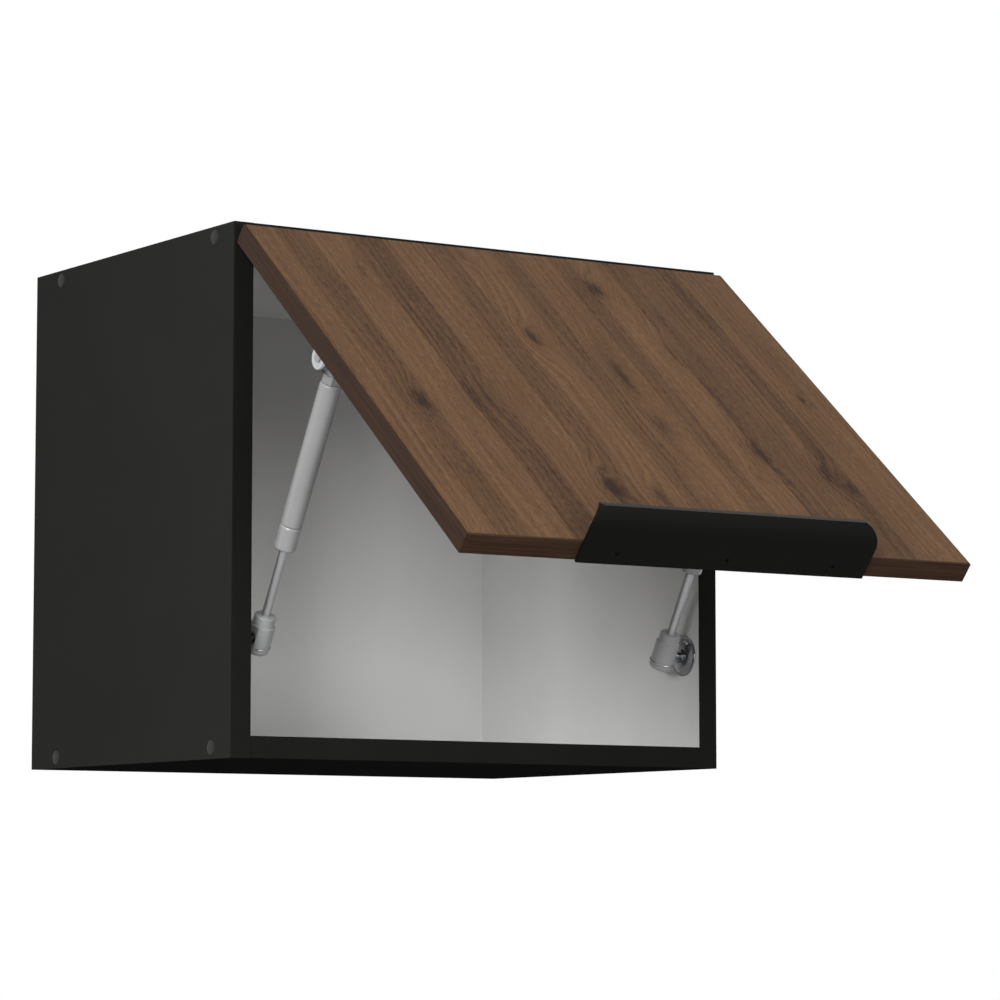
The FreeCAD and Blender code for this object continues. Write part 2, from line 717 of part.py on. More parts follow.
# ---------------------------------------------------------------- wall hangers
hanger = new_body("hanger_box_left")
BOX_LEFT = -INNER
BOX_RIGHT = -INNER + s.hanger_width
BOX_FRONT = BACK_FACE - s.hanger_depth
BOX_LOW = UNDER_TOP - s.hanger_height
WALL = s.hanger_wall
pad(
    hanger,
    outline(hanger, "XY", box_points(BOX_LEFT, BOX_RIGHT, BOX_FRONT, BACK_FACE), BOX_LOW),
    s.hanger_height,
)
cut(
    hanger,
    outline(
        hanger,
        "XZ",
        box_points(BOX_LEFT + WALL, BOX_RIGHT - WALL, BOX_LOW + WALL, UNDER_TOP - WALL),
        -BACK_FACE,
    ),
    s.hanger_depth - WALL,
    back=True,
)
pad(
    hanger,
    circles(hanger, "YZ", [(HANGER_Y, z) for z in PEG_ZS], s.peg_diameter, -INNER),
    s.peg_length,
    back=True,
)
SCREW_ZS = (HOOK_TOP - s.hook_tongue / 2, BOX_LOW + s.hanger_screw_up)
cut(
    hanger,
    circles(hanger, "XZ", [(-HOOK_X, z) for z in SCREW_ZS], s.hanger_screw + 2 * s.bore_play, -BOX_FRONT),
    WALL,
)
pair(hanger)

hook = new_body("hanger_hook_left")
LIP_BACK = -s.hook_play
LIP_FRONT = LIP_BACK - s.hook_lip
HOOK_FRONT = BOX_FRONT + WALL + s.hook_play
pad(
    hook,
    outline(
        hook,
        "YZ",
        [
            (HOOK_FRONT, BOX_LOW + WALL + s.hook_play),
            (BACK_FACE - s.hook_play, BOX_LOW + WALL + s.hook_play),
            (BACK_FACE - s.hook_play, HOOK_LOW),
            (LIP_FRONT, HOOK_LOW),
            (LIP_FRONT, HOOK_LOW - s.hook_drop),
            (LIP_BACK, HOOK_LOW - s.hook_drop),
            (LIP_BACK, HOOK_TOP),
            (HOOK_FRONT, HOOK_TOP),
        ],
        -HOOK_X,
    ),
    s.hook_thickness,
    middle=True,
)
pair(hook)

hanger_screw = screw(
    "hanger_screw", s.hanger_screw, s.hanger_screw_head, s.hanger_screw_head_height, s.hanger_screw_length
)
hanger_screw_y = HOOK_FRONT - s.hanger_screw_length
group(
    "hanger_screws",
    hanger_screw,
    [p for z in SCREW_ZS for p in both_sides(HOOK_X, hanger_screw_y, z, TO_MINUS_Y, TO_MINUS_Y)],
)

# ---------------------------------------------------------------- small screws
CONE = (s.chip_head - s.chip_shank) / 2
chip = screw("small_screw", s.chip_shank, s.chip_head, CONE, s.chip_length, flat=True)
side_screw = screw("side_screw", s.chip_shank, s.pan_head, s.pan_head_height, s.side_screw_length)

# ---------------------------------------------------------------- cup hinges, on the cabinet
ARM_LOW = UNDER_TOP - s.arm_drop - s.arm_height
ARM_HIGH = ARM_LOW + s.arm_height
ARM_FRONT = FRONT + s.arm_setback
ARM_REAR = FRONT + s.arm_length
BLOCK_HALF = s.arm_width / 2 - s.arm_wall - s.seat_play


def sunk_holes(body, plane, places, surface, depth, back=False):
    """Holes for small flat-headed screws, countersunk from the surface at the given offset."""
    cut(body, circles(body, plane, places, s.chip_shank + 2 * s.bore_play, surface), depth, back=back)
    names = []
    radius = number(s.chip_shank) / 2 + number(s.bore_play)
    for n, edge in enumerate(body.Shape.Edges, start=1):
        curve = edge.Curve
        if curve.TypeId != "Part::GeomCircle" or abs(curve.Radius - radius) > SAME_PLACE:
            continue
        level = {"XY": curve.Center.z, "XZ": -curve.Center.y, "YZ": curve.Center.x}[plane]
        if abs(level - number(surface)) < SAME_PLACE:
            names.append(f"Edge{n}")
    base = body.Tip
    feature = body.newObject("PartDesign::Chamfer", body.Name + "_countersinks")
    feature.Base = (base, names)
    feature.ChamferType = "Equal distance"
    feature.Size = number(CONE)
    bind(feature, "Size", CONE)
    doc.recompute()
    return feature


plate = new_body("hinge_plate_left")
WING_LOW = UNDER_TOP - s.plate_thickness
BLOCK_LOW = ARM_LOW + s.arm_wall
pad(
    plate,
    outline(
        plate,
        "XY",
        box_points(
            -HINGE_X - s.plate_span / 2,
            -HINGE_X + s.plate_span / 2,
            PLATE_Y - s.wing_length / 2,
            PLATE_Y + s.wing_length / 2,
        ),
        WING_LOW,
    ),
    s.plate_thickness,
)
pad(
    plate,
    outline(
        plate,
        "XY",
        box_points(
            -HINGE_X - BLOCK_HALF,
            -HINGE_X + BLOCK_HALF,
            PLATE_Y - s.block_length / 2,
            PLATE_Y + s.block_length / 2,
        ),
        BLOCK_LOW,
    ),
    UNDER_TOP - BLOCK_LOW,
)
left_plate_places = [(-HINGE_X + end * s.plate_pitch / 2, PLATE_Y) for end in (-1, 1)]
sunk_holes(plate, "XY", left_plate_places, WING_LOW, s.plate_thickness, back=True)
ARM_SCREW_BORE = s.arm_screw + 2 * s.bore_play
arm_screw_place = [(-HINGE_X, PLATE_Y)]
ARM_SCREW_GRIP = s.arm_screw_length - s.arm_screw_head_height - s.arm_wall + s.bore_play
cut(plate, circles(plate, "XY", arm_screw_place, ARM_SCREW_BORE, BLOCK_LOW), ARM_SCREW_GRIP, back=True)
pair(plate)

arm = new_body("hinge_arm_left")
ARM_LEFT = -HINGE_X - s.arm_width / 2
ARM_RIGHT = -HINGE_X + s.arm_width / 2
pad(arm, outline(arm, "XY", box_points(ARM_LEFT, ARM_RIGHT, ARM_FRONT, ARM_REAR), ARM_LOW), s.arm_height)
cut(
    arm,
    outline(
        arm,
        "XY",
        box_points(
            ARM_LEFT + s.arm_wall,
            ARM_RIGHT - s.arm_wall,
            ARM_FRONT + s.arm_wall,
            ARM_REAR + s.arm_wall,
        ),
        ARM_LOW + s.arm_wall,
    ),
    s.arm_height,
    back=True,
)
cut(arm, circles(arm, "XY", arm_screw_place, ARM_SCREW_BORE), middle=True)
# The claw leaves the channel level, turns up into the cup and ends in the eye around the pin.
SLOPE = math.radians(number(s.open_angle))
ACROSS_Y, ACROSS_Z = math.sin(SLOPE), math.cos(SLOPE)
EYE = s.eye_radius
THROAT = (FRONT - s.claw_throat, PIN_Z - s.claw_drop)
TAIL = s.claw_tail
pad(
    arm,
    outline(
        arm,
        "YZ",
        [
            (ARM_FRONT + s.arm_wall / 2, ARM_LOW),
            (ARM_FRONT + s.arm_wall / 2, THROAT[1]),
            THROAT,
            (PIN_Y + EYE * ACROSS_Y, PIN_Z + EYE * ACROSS_Z),
            (PIN_Y - EYE * ACROSS_Y, PIN_Z - EYE * ACROSS_Z),
            (PIN_Y - EYE * ACROSS_Y + TAIL * ACROSS_Z, PIN_Z - EYE * ACROSS_Z - TAIL * ACROSS_Y),
        ],
        -HINGE_X,
    ),
    s.claw_width,
    middle=True,
)
pad(arm, circles(arm, "YZ", [(PIN_Y, PIN_Z)], 2 * EYE, -HINGE_X), s.claw_width, middle=True)
cut(
    arm,
    circles(arm, "YZ", [(PIN_Y, PIN_Z)], s.pin_diameter + 2 * s.bore_play, -HINGE_X),
    s.claw_width + s.ear_gap,
    middle=True,
)
pair(arm)

group("hinge_plate_screws", chip, [at(x, y, WING_LOW, UPSIDE_DOWN) for x, y in plate_places])
arm_screw = screw(
    "arm_screw", s.arm_screw, s.arm_screw_head, s.arm_screw_head_height, s.arm_screw_length
)
ARM_SCREW_Z = ARM_LOW - s.arm_screw_head_height
group("hinge_arm_screws", arm_screw, both_sides(HINGE_X, PLATE_Y, ARM_SCREW_Z, UPSIDE_DOWN, UPSIDE_DOWN))

# ---------------------------------------------------------------- round plates of the struts
rosette = new_body("strut_rosette_left")
ROSETTE_R = s.rosette_diameter / 2
CROWN_R = s.rosette_crown / 2
turned(
    rosette,
    [
        (0, 0),
        (ROSETTE_R, 0),
        (ROSETTE_R, s.rosette_rim),
        (CROWN_R, s.rosette_height),
        (0, s.rosette_height),
    ],
)
# The round plate is drawn lying down: its own X axis points down the side panel.
rosette_holes = [(-ROSETTE_DZ * side, -ROSETTE_DY * side) for side in (-1, 1)]
cut(rosette, circles(rosette, "XY", rosette_holes, s.chip_shank + 2 * s.bore_play), middle=True)
cut(
    rosette,
    circles(rosette, "XY", rosette_holes, s.pan_head + 2 * s.bore_play, s.rosette_floor),
    s.rosette_height,
    back=True,
)
pair(rosette, at(-INNER, SIDE_BALL_Y, SIDE_BALL_Z, TO_PLUS_X))
ROSETTE_SCREW_X = INNER - s.rosette_floor - s.pan_head_height
group(
    "rosette_screws",
    side_screw,
    [p for y, z in ROSETTE_SCREWS for p in both_sides(ROSETTE_SCREW_X, y, z, TO_PLUS_X, TO_MINUS_X)],
)

# ---------------------------------------------------------------- door, drawn closed
DOOR_HALF = HALF - s.door_reveal
DOOR_FRONT = DOOR_BACK - s.door_board
INSIDE_HALF = DOOR_HALF - s.door_band
INSIDE_LOW = DOOR_BOTTOM + s.door_band
INSIDE_HIGH = DOOR_TOP - s.door_band
CUP_PLACES = [(side * HINGE_X, CUP_Z) for side in (-1, 1)]
CUP_SCREW_Z = CUP_Z - s.cup_screw_drop
cup_screw_places = [
    (side * HINGE_X + end * s.cup_screw_pitch / 2, CUP_SCREW_Z) for side in (-1, 1) for end in (-1, 1)
]
BRACKET_OUT = INNER - s.bracket_side_gap
BRACKET_SCREW_X = BRACKET_OUT - s.bracket_foot / 2 - s.bracket_thickness / 4
bracket_screw_places = [
    (side * BRACKET_SCREW_X, DOOR_BALL_Z + end * s.bracket_pitch / 2) for side in (-1, 1) for end in (-1, 1)
]
PULL_Y = DOOR_BACK - s.door_board / 2
pull_screw_xs = [place * s.pull_screw_pitch for place in (-1, 0, 1)]

door = new_body("door_panel")
pad(
    door,
    outline(door, "XZ", box_points(-INSIDE_HALF, INSIDE_HALF, INSIDE_LOW, INSIDE_HIGH), -DOOR_BACK),
    s.door_board,
)
cut(
    door,
    circles(door, "XZ", CUP_PLACES, s.cup_diameter + 2 * s.bore_play, -DOOR_BACK),
    s.cup_depth + s.bore_play,
    back=True,
)
for places, reach in (
    (cup_screw_places, s.chip_length - s.cup_screw_head_height - s.cup_wall),
    (bracket_screw_places, s.chip_length - s.bracket_thickness),
):
    bores = circles(door, "XZ", places, s.chip_shank + 2 * s.bore_play, -DOOR_BACK)
    cut(door, bores, reach + s.bore_play, back=True)
cut(
    door,
    circles(door, "XY", [(x, PULL_Y) for x in pull_screw_xs], s.chip_shank + 2 * s.bore_play, INSIDE_LOW),
    s.chip_length - s.pull_plate - s.door_band + s.bore_play,
    back=True,
)
keep(door, DOOR_SWING)

door_bands = new_body("door_edge_bands")
pad(
    door_bands,
    outline(door_bands, "XZ", box_points(-DOOR_HALF, DOOR_HALF, DOOR_BOTTOM, DOOR_TOP), -DOOR_BACK),
    s.door_board,
)


def around_a_face(edge):
    """An edge that runs round the front or the back of the door, and not through its thickness."""
    return abs(edge.tangentAt(edge.FirstParameter).y) < SAME_PLACE


rounded(door_bands, s.door_arris, around_a_face)
cut(
    door_bands,
    outline(door_bands, "XZ", box_points(-INSIDE_HALF, INSIDE_HALF, INSIDE_LOW, INSIDE_HIGH)),
    middle=True,
)
cut(
    door_bands,
    circles(
        door_bands, "XY", [(x, PULL_Y) for x in pull_screw_xs], s.chip_shank + 2 * s.bore_play, INSIDE_LOW
    ),
    s.door_band,
)
keep(door_bands, DOOR_SWING)

bumper = new_body("door_bumper")
BUMPER_HEIGHT = s.door_gap - s.bumper_play
turned(bumper, box_points(0, s.bumper_diameter / 2, 0, BUMPER_HEIGHT))
BUMPER_X = HALF - s.board / 2
BUMPER_Z = DOOR_BOTTOM + s.bumper_up
group(
    "door_bumpers",
    bumper,
    [at(side * BUMPER_X, DOOR_BACK, BUMPER_Z, TO_PLUS_Y, DOOR_SWING) for side in (-1, 1)],
)

# ---------------------------------------------------------------- cup hinges, on the door
# A cup is drawn with its mouth up; its own Y points down the closed door.
cup = new_body("hinge_cup_left")
CUP_R = s.cup_diameter / 2
RIM_R = CUP_R + s.flange_rim
turned(
    cup,
    [
        (0, -s.cup_depth),
        (CUP_R, -s.cup_depth),
        (CUP_R, 0),
        (RIM_R, 0),
        (RIM_R, s.cup_wall),
        (CUP_R - s.cup_wall, s.cup_wall),
        (CUP_R - s.cup_wall, s.cup_wall - s.cup_depth),
        (0, s.cup_wall - s.cup_depth),
    ],
)
WING_HALF = s.wing_width / 2
DROP = s.cup_screw_drop
EAR_IN = s.claw_width / 2 + s.ear_gap
EAR_OUT = EAR_IN + s.ear_width
pin_y, pin_z = s.pin_setback - s.cup_setback, -s.pin_depth
EAR_FOOT = s.cup_wall / 2 - s.cup_depth
for side in (-1, 1):
    wing_x = sorted((side * CUP_R, side * WING_HALF), key=number)
    wing = box_points(wing_x[0], wing_x[1], DROP - s.wing_height / 2, DROP + s.wing_height / 2)
    pad(cup, outline(cup, "XY", wing), s.cup_wall)
    ear_x = sorted((side * EAR_IN, side * EAR_OUT), key=number)
    ear = box_points(ear_x[0], ear_x[1], pin_y - s.ear_above, pin_y + s.ear_below)
    pad(cup, outline(cup, "XY", ear, EAR_FOOT), pin_z + s.ear_reach - EAR_FOOT)
cut(
    cup,
    circles(cup, "YZ", [(pin_y, pin_z)], s.pin_diameter + 2 * s.bore_play),
    2 * EAR_OUT,
    middle=True,
)
left_wing_places = [(end * s.cup_screw_pitch / 2, DROP) for end in (-1, 1)]
cut(cup, circles(cup, "XY", left_wing_places, s.chip_shank + 2 * s.bore_play), middle=True)
pair(cup, at(-HINGE_X, DOOR_BACK, CUP_Z, TO_PLUS_Y, DOOR_SWING))

pin = new_body("hinge_pin_left")
turned(pin, box_points(0, s.pin_diameter / 2, -EAR_OUT, EAR_OUT))
pair(pin, at(-HINGE_X, PIN_Y, PIN_Z, TO_PLUS_X, DOOR_SWING))

cup_screw = screw("cup_screw", s.chip_shank, s.pan_head, s.cup_screw_head_height, s.chip_length)
CUP_SCREW_Y = DOOR_BACK + s.cup_wall + s.cup_screw_head_height
group(
    "cup_screws",
    cup_screw,
    [at(x, CUP_SCREW_Y, z, TO_PLUS_Y, DOOR_SWING) for x, z in cup_screw_places],
)

# ---------------------------------------------------------------- strut brackets on the door
bracket = new_body("strut_bracket_left")
FOOT_Y = DOOR_BACK + s.bracket_thickness
FOOT_LOW = DOOR_BALL_Z - s.bracket_length / 2
FOOT_HIGH = DOOR_BALL_Z + s.bracket_length / 2
pad(
    bracket,
    outline(
        bracket,
        "YZ",
        [
            (DOOR_BACK, FOOT_LOW),
            (FOOT_Y, FOOT_LOW),
            (FOOT_Y, DOOR_BALL_Z - s.ear_radius),
            (DOOR_BALL_Y, DOOR_BALL_Z - s.ear_radius),
            (DOOR_BALL_Y, DOOR_BALL_Z + s.ear_radius),
            (FOOT_Y, DOOR_BALL_Z + s.ear_radius),
            (FOOT_Y, FOOT_HIGH),
            (DOOR_BACK, FOOT_HIGH),
        ],
        -BRACKET_OUT,
    ),
    s.bracket_thickness,
)
ball_place = [(DOOR_BALL_Y, DOOR_BALL_Z)]
pad(bracket, circles(bracket, "YZ", ball_place, 2 * s.ear_radius, -BRACKET_OUT), s.bracket_thickness)
pad(
    bracket,
    outline(
        bracket,
        "XZ",
        box_points(-BRACKET_OUT, s.bracket_foot - BRACKET_OUT, FOOT_LOW, FOOT_HIGH),
        -DOOR_BACK,
    ),
    s.bracket_thickness,
    back=True,
)
left_foot_places = [(-BRACKET_SCREW_X, DOOR_BALL_Z + end * s.bracket_pitch / 2) for end in (-1, 1)]
sunk_holes(bracket, "XZ", left_foot_places, -FOOT_Y, s.bracket_thickness, back=True)
cut(
    bracket,
    circles(bracket, "YZ", ball_place, s.neck_diameter + 2 * s.bore_play, -BRACKET_OUT),
    s.bracket_thickness,
    back=True,
)
pair(bracket, DOOR_SWING)
group(
    "bracket_screws",
    chip,
    [at(x, FOOT_Y, z, TO_PLUS_Y, DOOR_SWING) for x, z in bracket_screw_places],
)

# A ball stud is drawn with its ball at the origin and its foot straight up.
BALL_R = s.ball_diameter / 2
NECK_R = s.neck_diameter / 2


def stud(label, profile):
    """A ball stud, turned about its own Z axis, with the rest of its outline over the neck."""
    body = new_body(label)
    turned(body, [(0, -BALL_R, BALL_R), (NECK_R, leg(BALL_R, NECK_R))] + profile)
    return body


EAR_REACH = BRACKET_OUT - s.bracket_thickness - STRUT_X
RIVET_START = EAR_REACH + s.bracket_thickness
upper_stud = stud(
    "upper_stud_left",
    [
        (NECK_R, EAR_REACH - s.stud_collar_height),
        (s.stud_collar / 2, EAR_REACH - s.stud_collar_height),
        (s.stud_collar / 2, EAR_REACH),
        (NECK_R, EAR_REACH),
        (NECK_R, RIVET_START),
        (s.rivet_head / 2, RIVET_START),
        (s.rivet_head / 2, RIVET_START + s.rivet_height),
        (0, RIVET_START + s.rivet_height),
    ],
)
pair(upper_stud, at(-STRUT_X, DOOR_BALL_Y, DOOR_BALL_Z, TO_MINUS_X, DOOR_SWING))

# ---------------------------------------------------------------- gas struts, drawn upright
FOOT_REACH = s.strut_from_side - s.rosette_height - s.seat_play
lower_stud = stud(
    "lower_stud_left",
    [
        (NECK_R, FOOT_REACH - s.stud_foot_height),
        (s.stud_foot / 2, FOOT_REACH - s.stud_foot_height),
        (s.stud_foot / 2, FOOT_REACH),
        (0, FOOT_REACH),
    ],
)
pair(lower_stud, at(-STRUT_X, SIDE_BALL_Y, SIDE_BALL_Z, TO_MINUS_X))

SOCKET_R = s.socket_diameter / 2
COLLAR_R = s.collar_diameter / 2
ROUND = s.socket_rounding
CLIP_LOW = -s.clip_offset - s.clip_wire / 2
CLIP_HIGH = -s.clip_offset + s.clip_wire / 2


def socket(label):
    """A ball socket: the ball at the origin, open towards -X, with the collar for the rod on top."""
    body = new_body(label)
    turned(
        body,
        [
            (0, -s.socket_tail),
            (SOCKET_R - ROUND, -s.socket_tail, ROUND),
            (SOCKET_R, ROUND - s.socket_tail),
            (SOCKET_R, CLIP_LOW),
            (SOCKET_R - s.clip_wire / 2, CLIP_LOW),
            (SOCKET_R - s.clip_wire / 2, CLIP_HIGH),
            (SOCKET_R, CLIP_HIGH),
            (SOCKET_R, s.socket_step),
            (COLLAR_R, s.socket_step + s.socket_chamfer),
            (COLLAR_R, s.socket_shoulder),
            (0, s.socket_shoulder),
        ],
    )
    flat = box_points(-s.socket_diameter, -s.socket_flat, -SOCKET_R, SOCKET_R)
    cut(body, outline(body, "XY", flat, s.socket_step), s.socket_step + s.socket_tail)
    seat_r = BALL_R + s.bore_play
    seat = outline(body, "XZ", [(-SOCKET_R, 0), (seat_r, 0, seat_r), (0, seat_r), (-SOCKET_R, seat_r)])
    groove = body.newObject("PartDesign::Groove", label + "_seat")
    groove.Profile = seat
    groove.ReferenceAxis = (seat, ["H_Axis"])
    doc.recompute()
    bore = circles(body, "XY", [(0, 0)], s.rod_diameter + 2 * s.bore_play, s.socket_shoulder)
    cut(body, bore, s.thread_length + s.bore_play)
    return body


def clip(label):
    """The open wire ring that holds a ball in its socket."""
    body = new_body(label)
    ring = circles(body, "XZ", [(SOCKET_R, -s.clip_offset)], s.clip_wire)
    feature = body.newObject("PartDesign::Revolution", label + "_wire")
    feature.Profile = ring
    feature.ReferenceAxis = (ring, ["V_Axis"])
    feature.Angle = number(s.clip_angle)
    bind(feature, "Angle", s.clip_angle)
    feature.Midplane = True
    doc.recompute()
    return body


AT_UPPER_BALL = STRUT_LEAN.multiply(at(0, 0, STRUT_LENGTH, UPSIDE_DOWN))
pair(socket("lower_socket_left"), STRUT_LEAN)
pair(socket("upper_socket_left"), AT_UPPER_BALL)
pair(clip("lower_clip_left"), STRUT_LEAN)
pair(clip("upper_clip_left"), AT_UPPER_BALL)

TUBE_R = s.tube_diameter / 2
INSIDE_R = TUBE_R - s.tube_wall
ROD_R = s.rod_diameter / 2
TUBE_TOP = MOUTH + s.tube_length
BEND = s.tube_rounding
CRIMP = MOUTH + s.crimp_from_mouth
CRIMP_LOW = CRIMP - s.crimp_width / 2
CRIMP_HIGH = CRIMP + s.crimp_width / 2
LIP_TOP = MOUTH + s.tube_lip
tube = new_body("strut_tube_left")
turned(
    tube,
    [
        (s.mouth_diameter / 2, MOUTH),
        (TUBE_R - BEND, MOUTH, BEND),
        (TUBE_R, MOUTH + BEND),
        (TUBE_R, CRIMP_LOW),
        (TUBE_R - s.crimp_depth, CRIMP),
        (TUBE_R, CRIMP_HIGH),
        (TUBE_R, TUBE_TOP - BEND, BEND),
        (TUBE_R - BEND, TUBE_TOP),
        (ROD_R, TUBE_TOP),
        (ROD_R, TUBE_TOP + s.thread_length),
        (0, TUBE_TOP + s.thread_length),
        (0, TUBE_TOP - s.tube_end),
        (INSIDE_R, TUBE_TOP - s.tube_end),
        (INSIDE_R, CRIMP_HIGH),
        (INSIDE_R - s.crimp_depth, CRIMP),
        (INSIDE_R, CRIMP_LOW),
        (INSIDE_R, LIP_TOP),
        (s.mouth_diameter / 2, LIP_TOP),
    ],
)
pair(tube, STRUT_LEAN)

guide = new_body("rod_guide_left")
turned(guide, box_points(ROD_R + s.rod_play, INSIDE_R, LIP_TOP, MOUTH + s.guide_length))
pair(guide, STRUT_LEAN)

PISTON_LOW = CRIMP_HIGH + s.seat_play
rod = new_body("strut_rod_left")
turned(rod, box_points(0, ROD_R, s.socket_shoulder - s.thread_length, PISTON_LOW + s.piston_length))
pair(rod, STRUT_LEAN)

piston = new_body("strut_piston_left")
turned(piston, box_points(ROD_R, INSIDE_R - s.rod_play, PISTON_LOW, PISTON_LOW + s.piston_length))
pair(piston, STRUT_LEAN)

# ---------------------------------------------------------------- edge pull
pull = new_body("edge_pull")
PULL_LOW = DOOR_BOTTOM - s.pull_plate
TIP = (DOOR_BACK - s.pull_reach, DOOR_BOTTOM + s.pull_rise)
LIP = (DOOR_BACK - s.lip_reach, DOOR_BOTTOM + s.lip_rise)
pad(
    pull,
    outline(
        pull,
        "YZ",
        [
            (DOOR_BACK + s.pull_overhang, DOOR_BOTTOM),
            (DOOR_BACK - s.scoop_start, DOOR_BOTTOM, s.scoop_radius),
            LIP,
            (TIP[0], TIP[1], s.pull_radius),
            (DOOR_BACK - s.pull_flat, PULL_LOW),
            (DOOR_BACK + s.pull_overhang, PULL_LOW),
        ],
        -s.pull_length / 2,
    ),
    s.pull_length,
)
LIP_Y = number(DOOR_BACK - s.lip_reach)


def on_the_lip(edge):
    box = edge.BoundBox
    return box.YLength + box.ZLength < SAME_PLACE and box.YMax < LIP_Y + SAME_PLACE


rounded(pull, s.pull_edge, on_the_lip)
CORNER_Y = DOOR_BACK - s.pull_corner_start
for side in (-1, 1):
    end = side * s.pull_length / 2
    corner = [
        (end, CORNER_Y, -side * s.pull_corner),
        (end - side * s.pull_corner_cut, TIP[0]),
        (end - side * s.pull_corner_cut, TIP[0] - s.pull_corner),
        (end + side * s.pull_corner, TIP[0] - s.pull_corner),
        (end + side * s.pull_corner, CORNER_Y),
    ]
    cut(pull, outline(pull, "XY", corner), middle=True)
sunk_holes(pull, "XY", [(x, PULL_Y) for x in pull_screw_xs], PULL_LOW, s.pull_plate, back=True)
keep(pull, DOOR_SWING)
group("pull_screws", chip, [at(x, PULL_Y, PULL_LOW, UPSIDE_DOWN, DOOR_SWING) for x in pull_screw_xs])

# ---------------------------------------------------------------- check and export
doc.recompute()
for item in doc.Objects:
    if "Invalid" in item.State or "Error" in item.State:
        raise RuntimeError(f"{item.Label} did not build: {item.State}")
os.makedirs("parts", exist_ok=True)
for node in nodes:
    if not node.Shape.isValid() or not node.Shape.Solids:
        raise RuntimeError(f"{node.Label} is not a valid solid")
    node.Shape.exportStep(f"parts/{node.Label}.step")
print(len(nodes), "nodes,", sum(len(node.Shape.Solids) for node in nodes), "solids")
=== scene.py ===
import math

import bmesh
import bpy
from bpy.props import FloatProperty, FloatVectorProperty, PointerProperty
from mathutils import Matrix, Vector


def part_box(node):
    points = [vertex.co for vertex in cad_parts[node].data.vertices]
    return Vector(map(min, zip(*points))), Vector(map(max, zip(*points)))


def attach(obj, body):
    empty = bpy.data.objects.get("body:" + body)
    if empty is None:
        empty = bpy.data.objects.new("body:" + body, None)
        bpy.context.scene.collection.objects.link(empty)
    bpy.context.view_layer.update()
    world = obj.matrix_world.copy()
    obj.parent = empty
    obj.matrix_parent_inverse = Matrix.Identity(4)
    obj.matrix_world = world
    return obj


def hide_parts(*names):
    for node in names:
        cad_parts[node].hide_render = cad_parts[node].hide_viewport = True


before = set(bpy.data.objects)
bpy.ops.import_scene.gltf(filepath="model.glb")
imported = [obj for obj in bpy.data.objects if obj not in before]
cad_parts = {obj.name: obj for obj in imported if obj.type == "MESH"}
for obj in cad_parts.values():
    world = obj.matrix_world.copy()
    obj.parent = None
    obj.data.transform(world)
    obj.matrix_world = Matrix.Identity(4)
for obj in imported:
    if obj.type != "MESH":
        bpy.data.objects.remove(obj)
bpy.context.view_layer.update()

bl_info = {
    "name": "Lift-up wall cabinet",
    "version": (1, 0, 0),
    "blender": (4, 5, 0),
    "location": "3D View > Sidebar > Cabinet",
    "description": "Dresses the packed lift-up wall cabinet with finished pieces, and lights it in a studio",
    "category": "Object",
}

MM = 0.001

# Places that the pieces share, in millimetres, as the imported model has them.
OUTER_X = 200
INNER_X = 185
HEIGHT = 360
BOARD = 15
BAND_FRONT = -292
BAND_BACK = -291.2
CAPS_Y = (-265, -39)
HANGER_X = 174
HANGER_SCREWS_Z = (297, 324)
HINGE_PIN = Vector((0, -304.1, 347.7))
HINGE_X = 120
HINGE_Y = -255
OPEN_ANGLE = math.radians(50.14)
STRUT_X = 167.8
LOWER_BALL = (-272.5, 81.5)
UPPER_BALL = (-373.527, 259.378)
# The same on the closed door. The side bands start just outside SIDE_BAND_X.
DOOR_BACK_Y = -294.6
DOOR_LOW = -2.8
SIDE_BAND_X = 197.35
BRACKET_X = 178.25
BRACKET_Z = 237.8
BUMPER_X = 192.5
BUMPER_Z = 21.2

# From millimetres on the cabinet, or on the closed door, to metres in the frame.
CARCASS = Matrix.Scale(MM, 4)
DOOR = (
    CARCASS
    @ Matrix.Translation(HINGE_PIN)
    @ Matrix.Rotation(-OPEN_ANGLE, 4, "X")
    @ Matrix.Translation(-HINGE_PIN)
)
# What turning the open door back about its pin adds to its millimetres.
DOOR_SHIFT = HINGE_PIN - Matrix.Rotation(OPEN_ANGLE, 4, "X") @ HINGE_PIN
QUARTER = math.pi / 2
TO_PLUS_X = Matrix.Rotation(QUARTER, 4, "Y")
TO_MINUS_X = Matrix.Rotation(-QUARTER, 4, "Y")
TO_MINUS_Y = Matrix.Rotation(QUARTER, 4, "X")
TO_PLUS_Y = Matrix.Rotation(-QUARTER, 4, "X")
UPSIDE_DOWN = Matrix.Rotation(math.pi, 4, "X")


def linear(colour):
    """The linear colour of an sRGB hex value."""
    parts = [int(colour[i : i + 2], 16) / 255 for i in (1, 3, 5)]
    return tuple(p / 12.92 if p <= 0.04045 else ((p + 0.055) / 1.055) ** 2.4 for p in parts)


# ---------------------------------------------------------------- what a user would change
def colour_of(name, description, colour):
    """A colour that the panel shows, from its sRGB hex value."""
    return FloatVectorProperty(
        name=name, description=description, subtype="COLOR", size=3, min=0, max=1, default=linear(colour)
    )


class CabinetFinishes(bpy.types.PropertyGroup):
    """Colours of the cabinet's finishes."""

    outside: colour_of("Outside", "Melamine on the outer faces of the boards", "#353534")
    inside: colour_of("Inside", "Melamine on the inner faces and on the back", "#e9e9e8")
    wood_light: colour_of("Walnut, light", "Light growth of the walnut laminate", "#77593f")
    wood_dark: colour_of("Walnut, dark", "Dark growth of the walnut laminate", "#3b291d")
    strut: colour_of("Strut", "Enamel on the tubes of the struts", "#adadad")
    pull: colour_of("Edge pull", "Powder coat on the edge pull", "#0f0f0e")


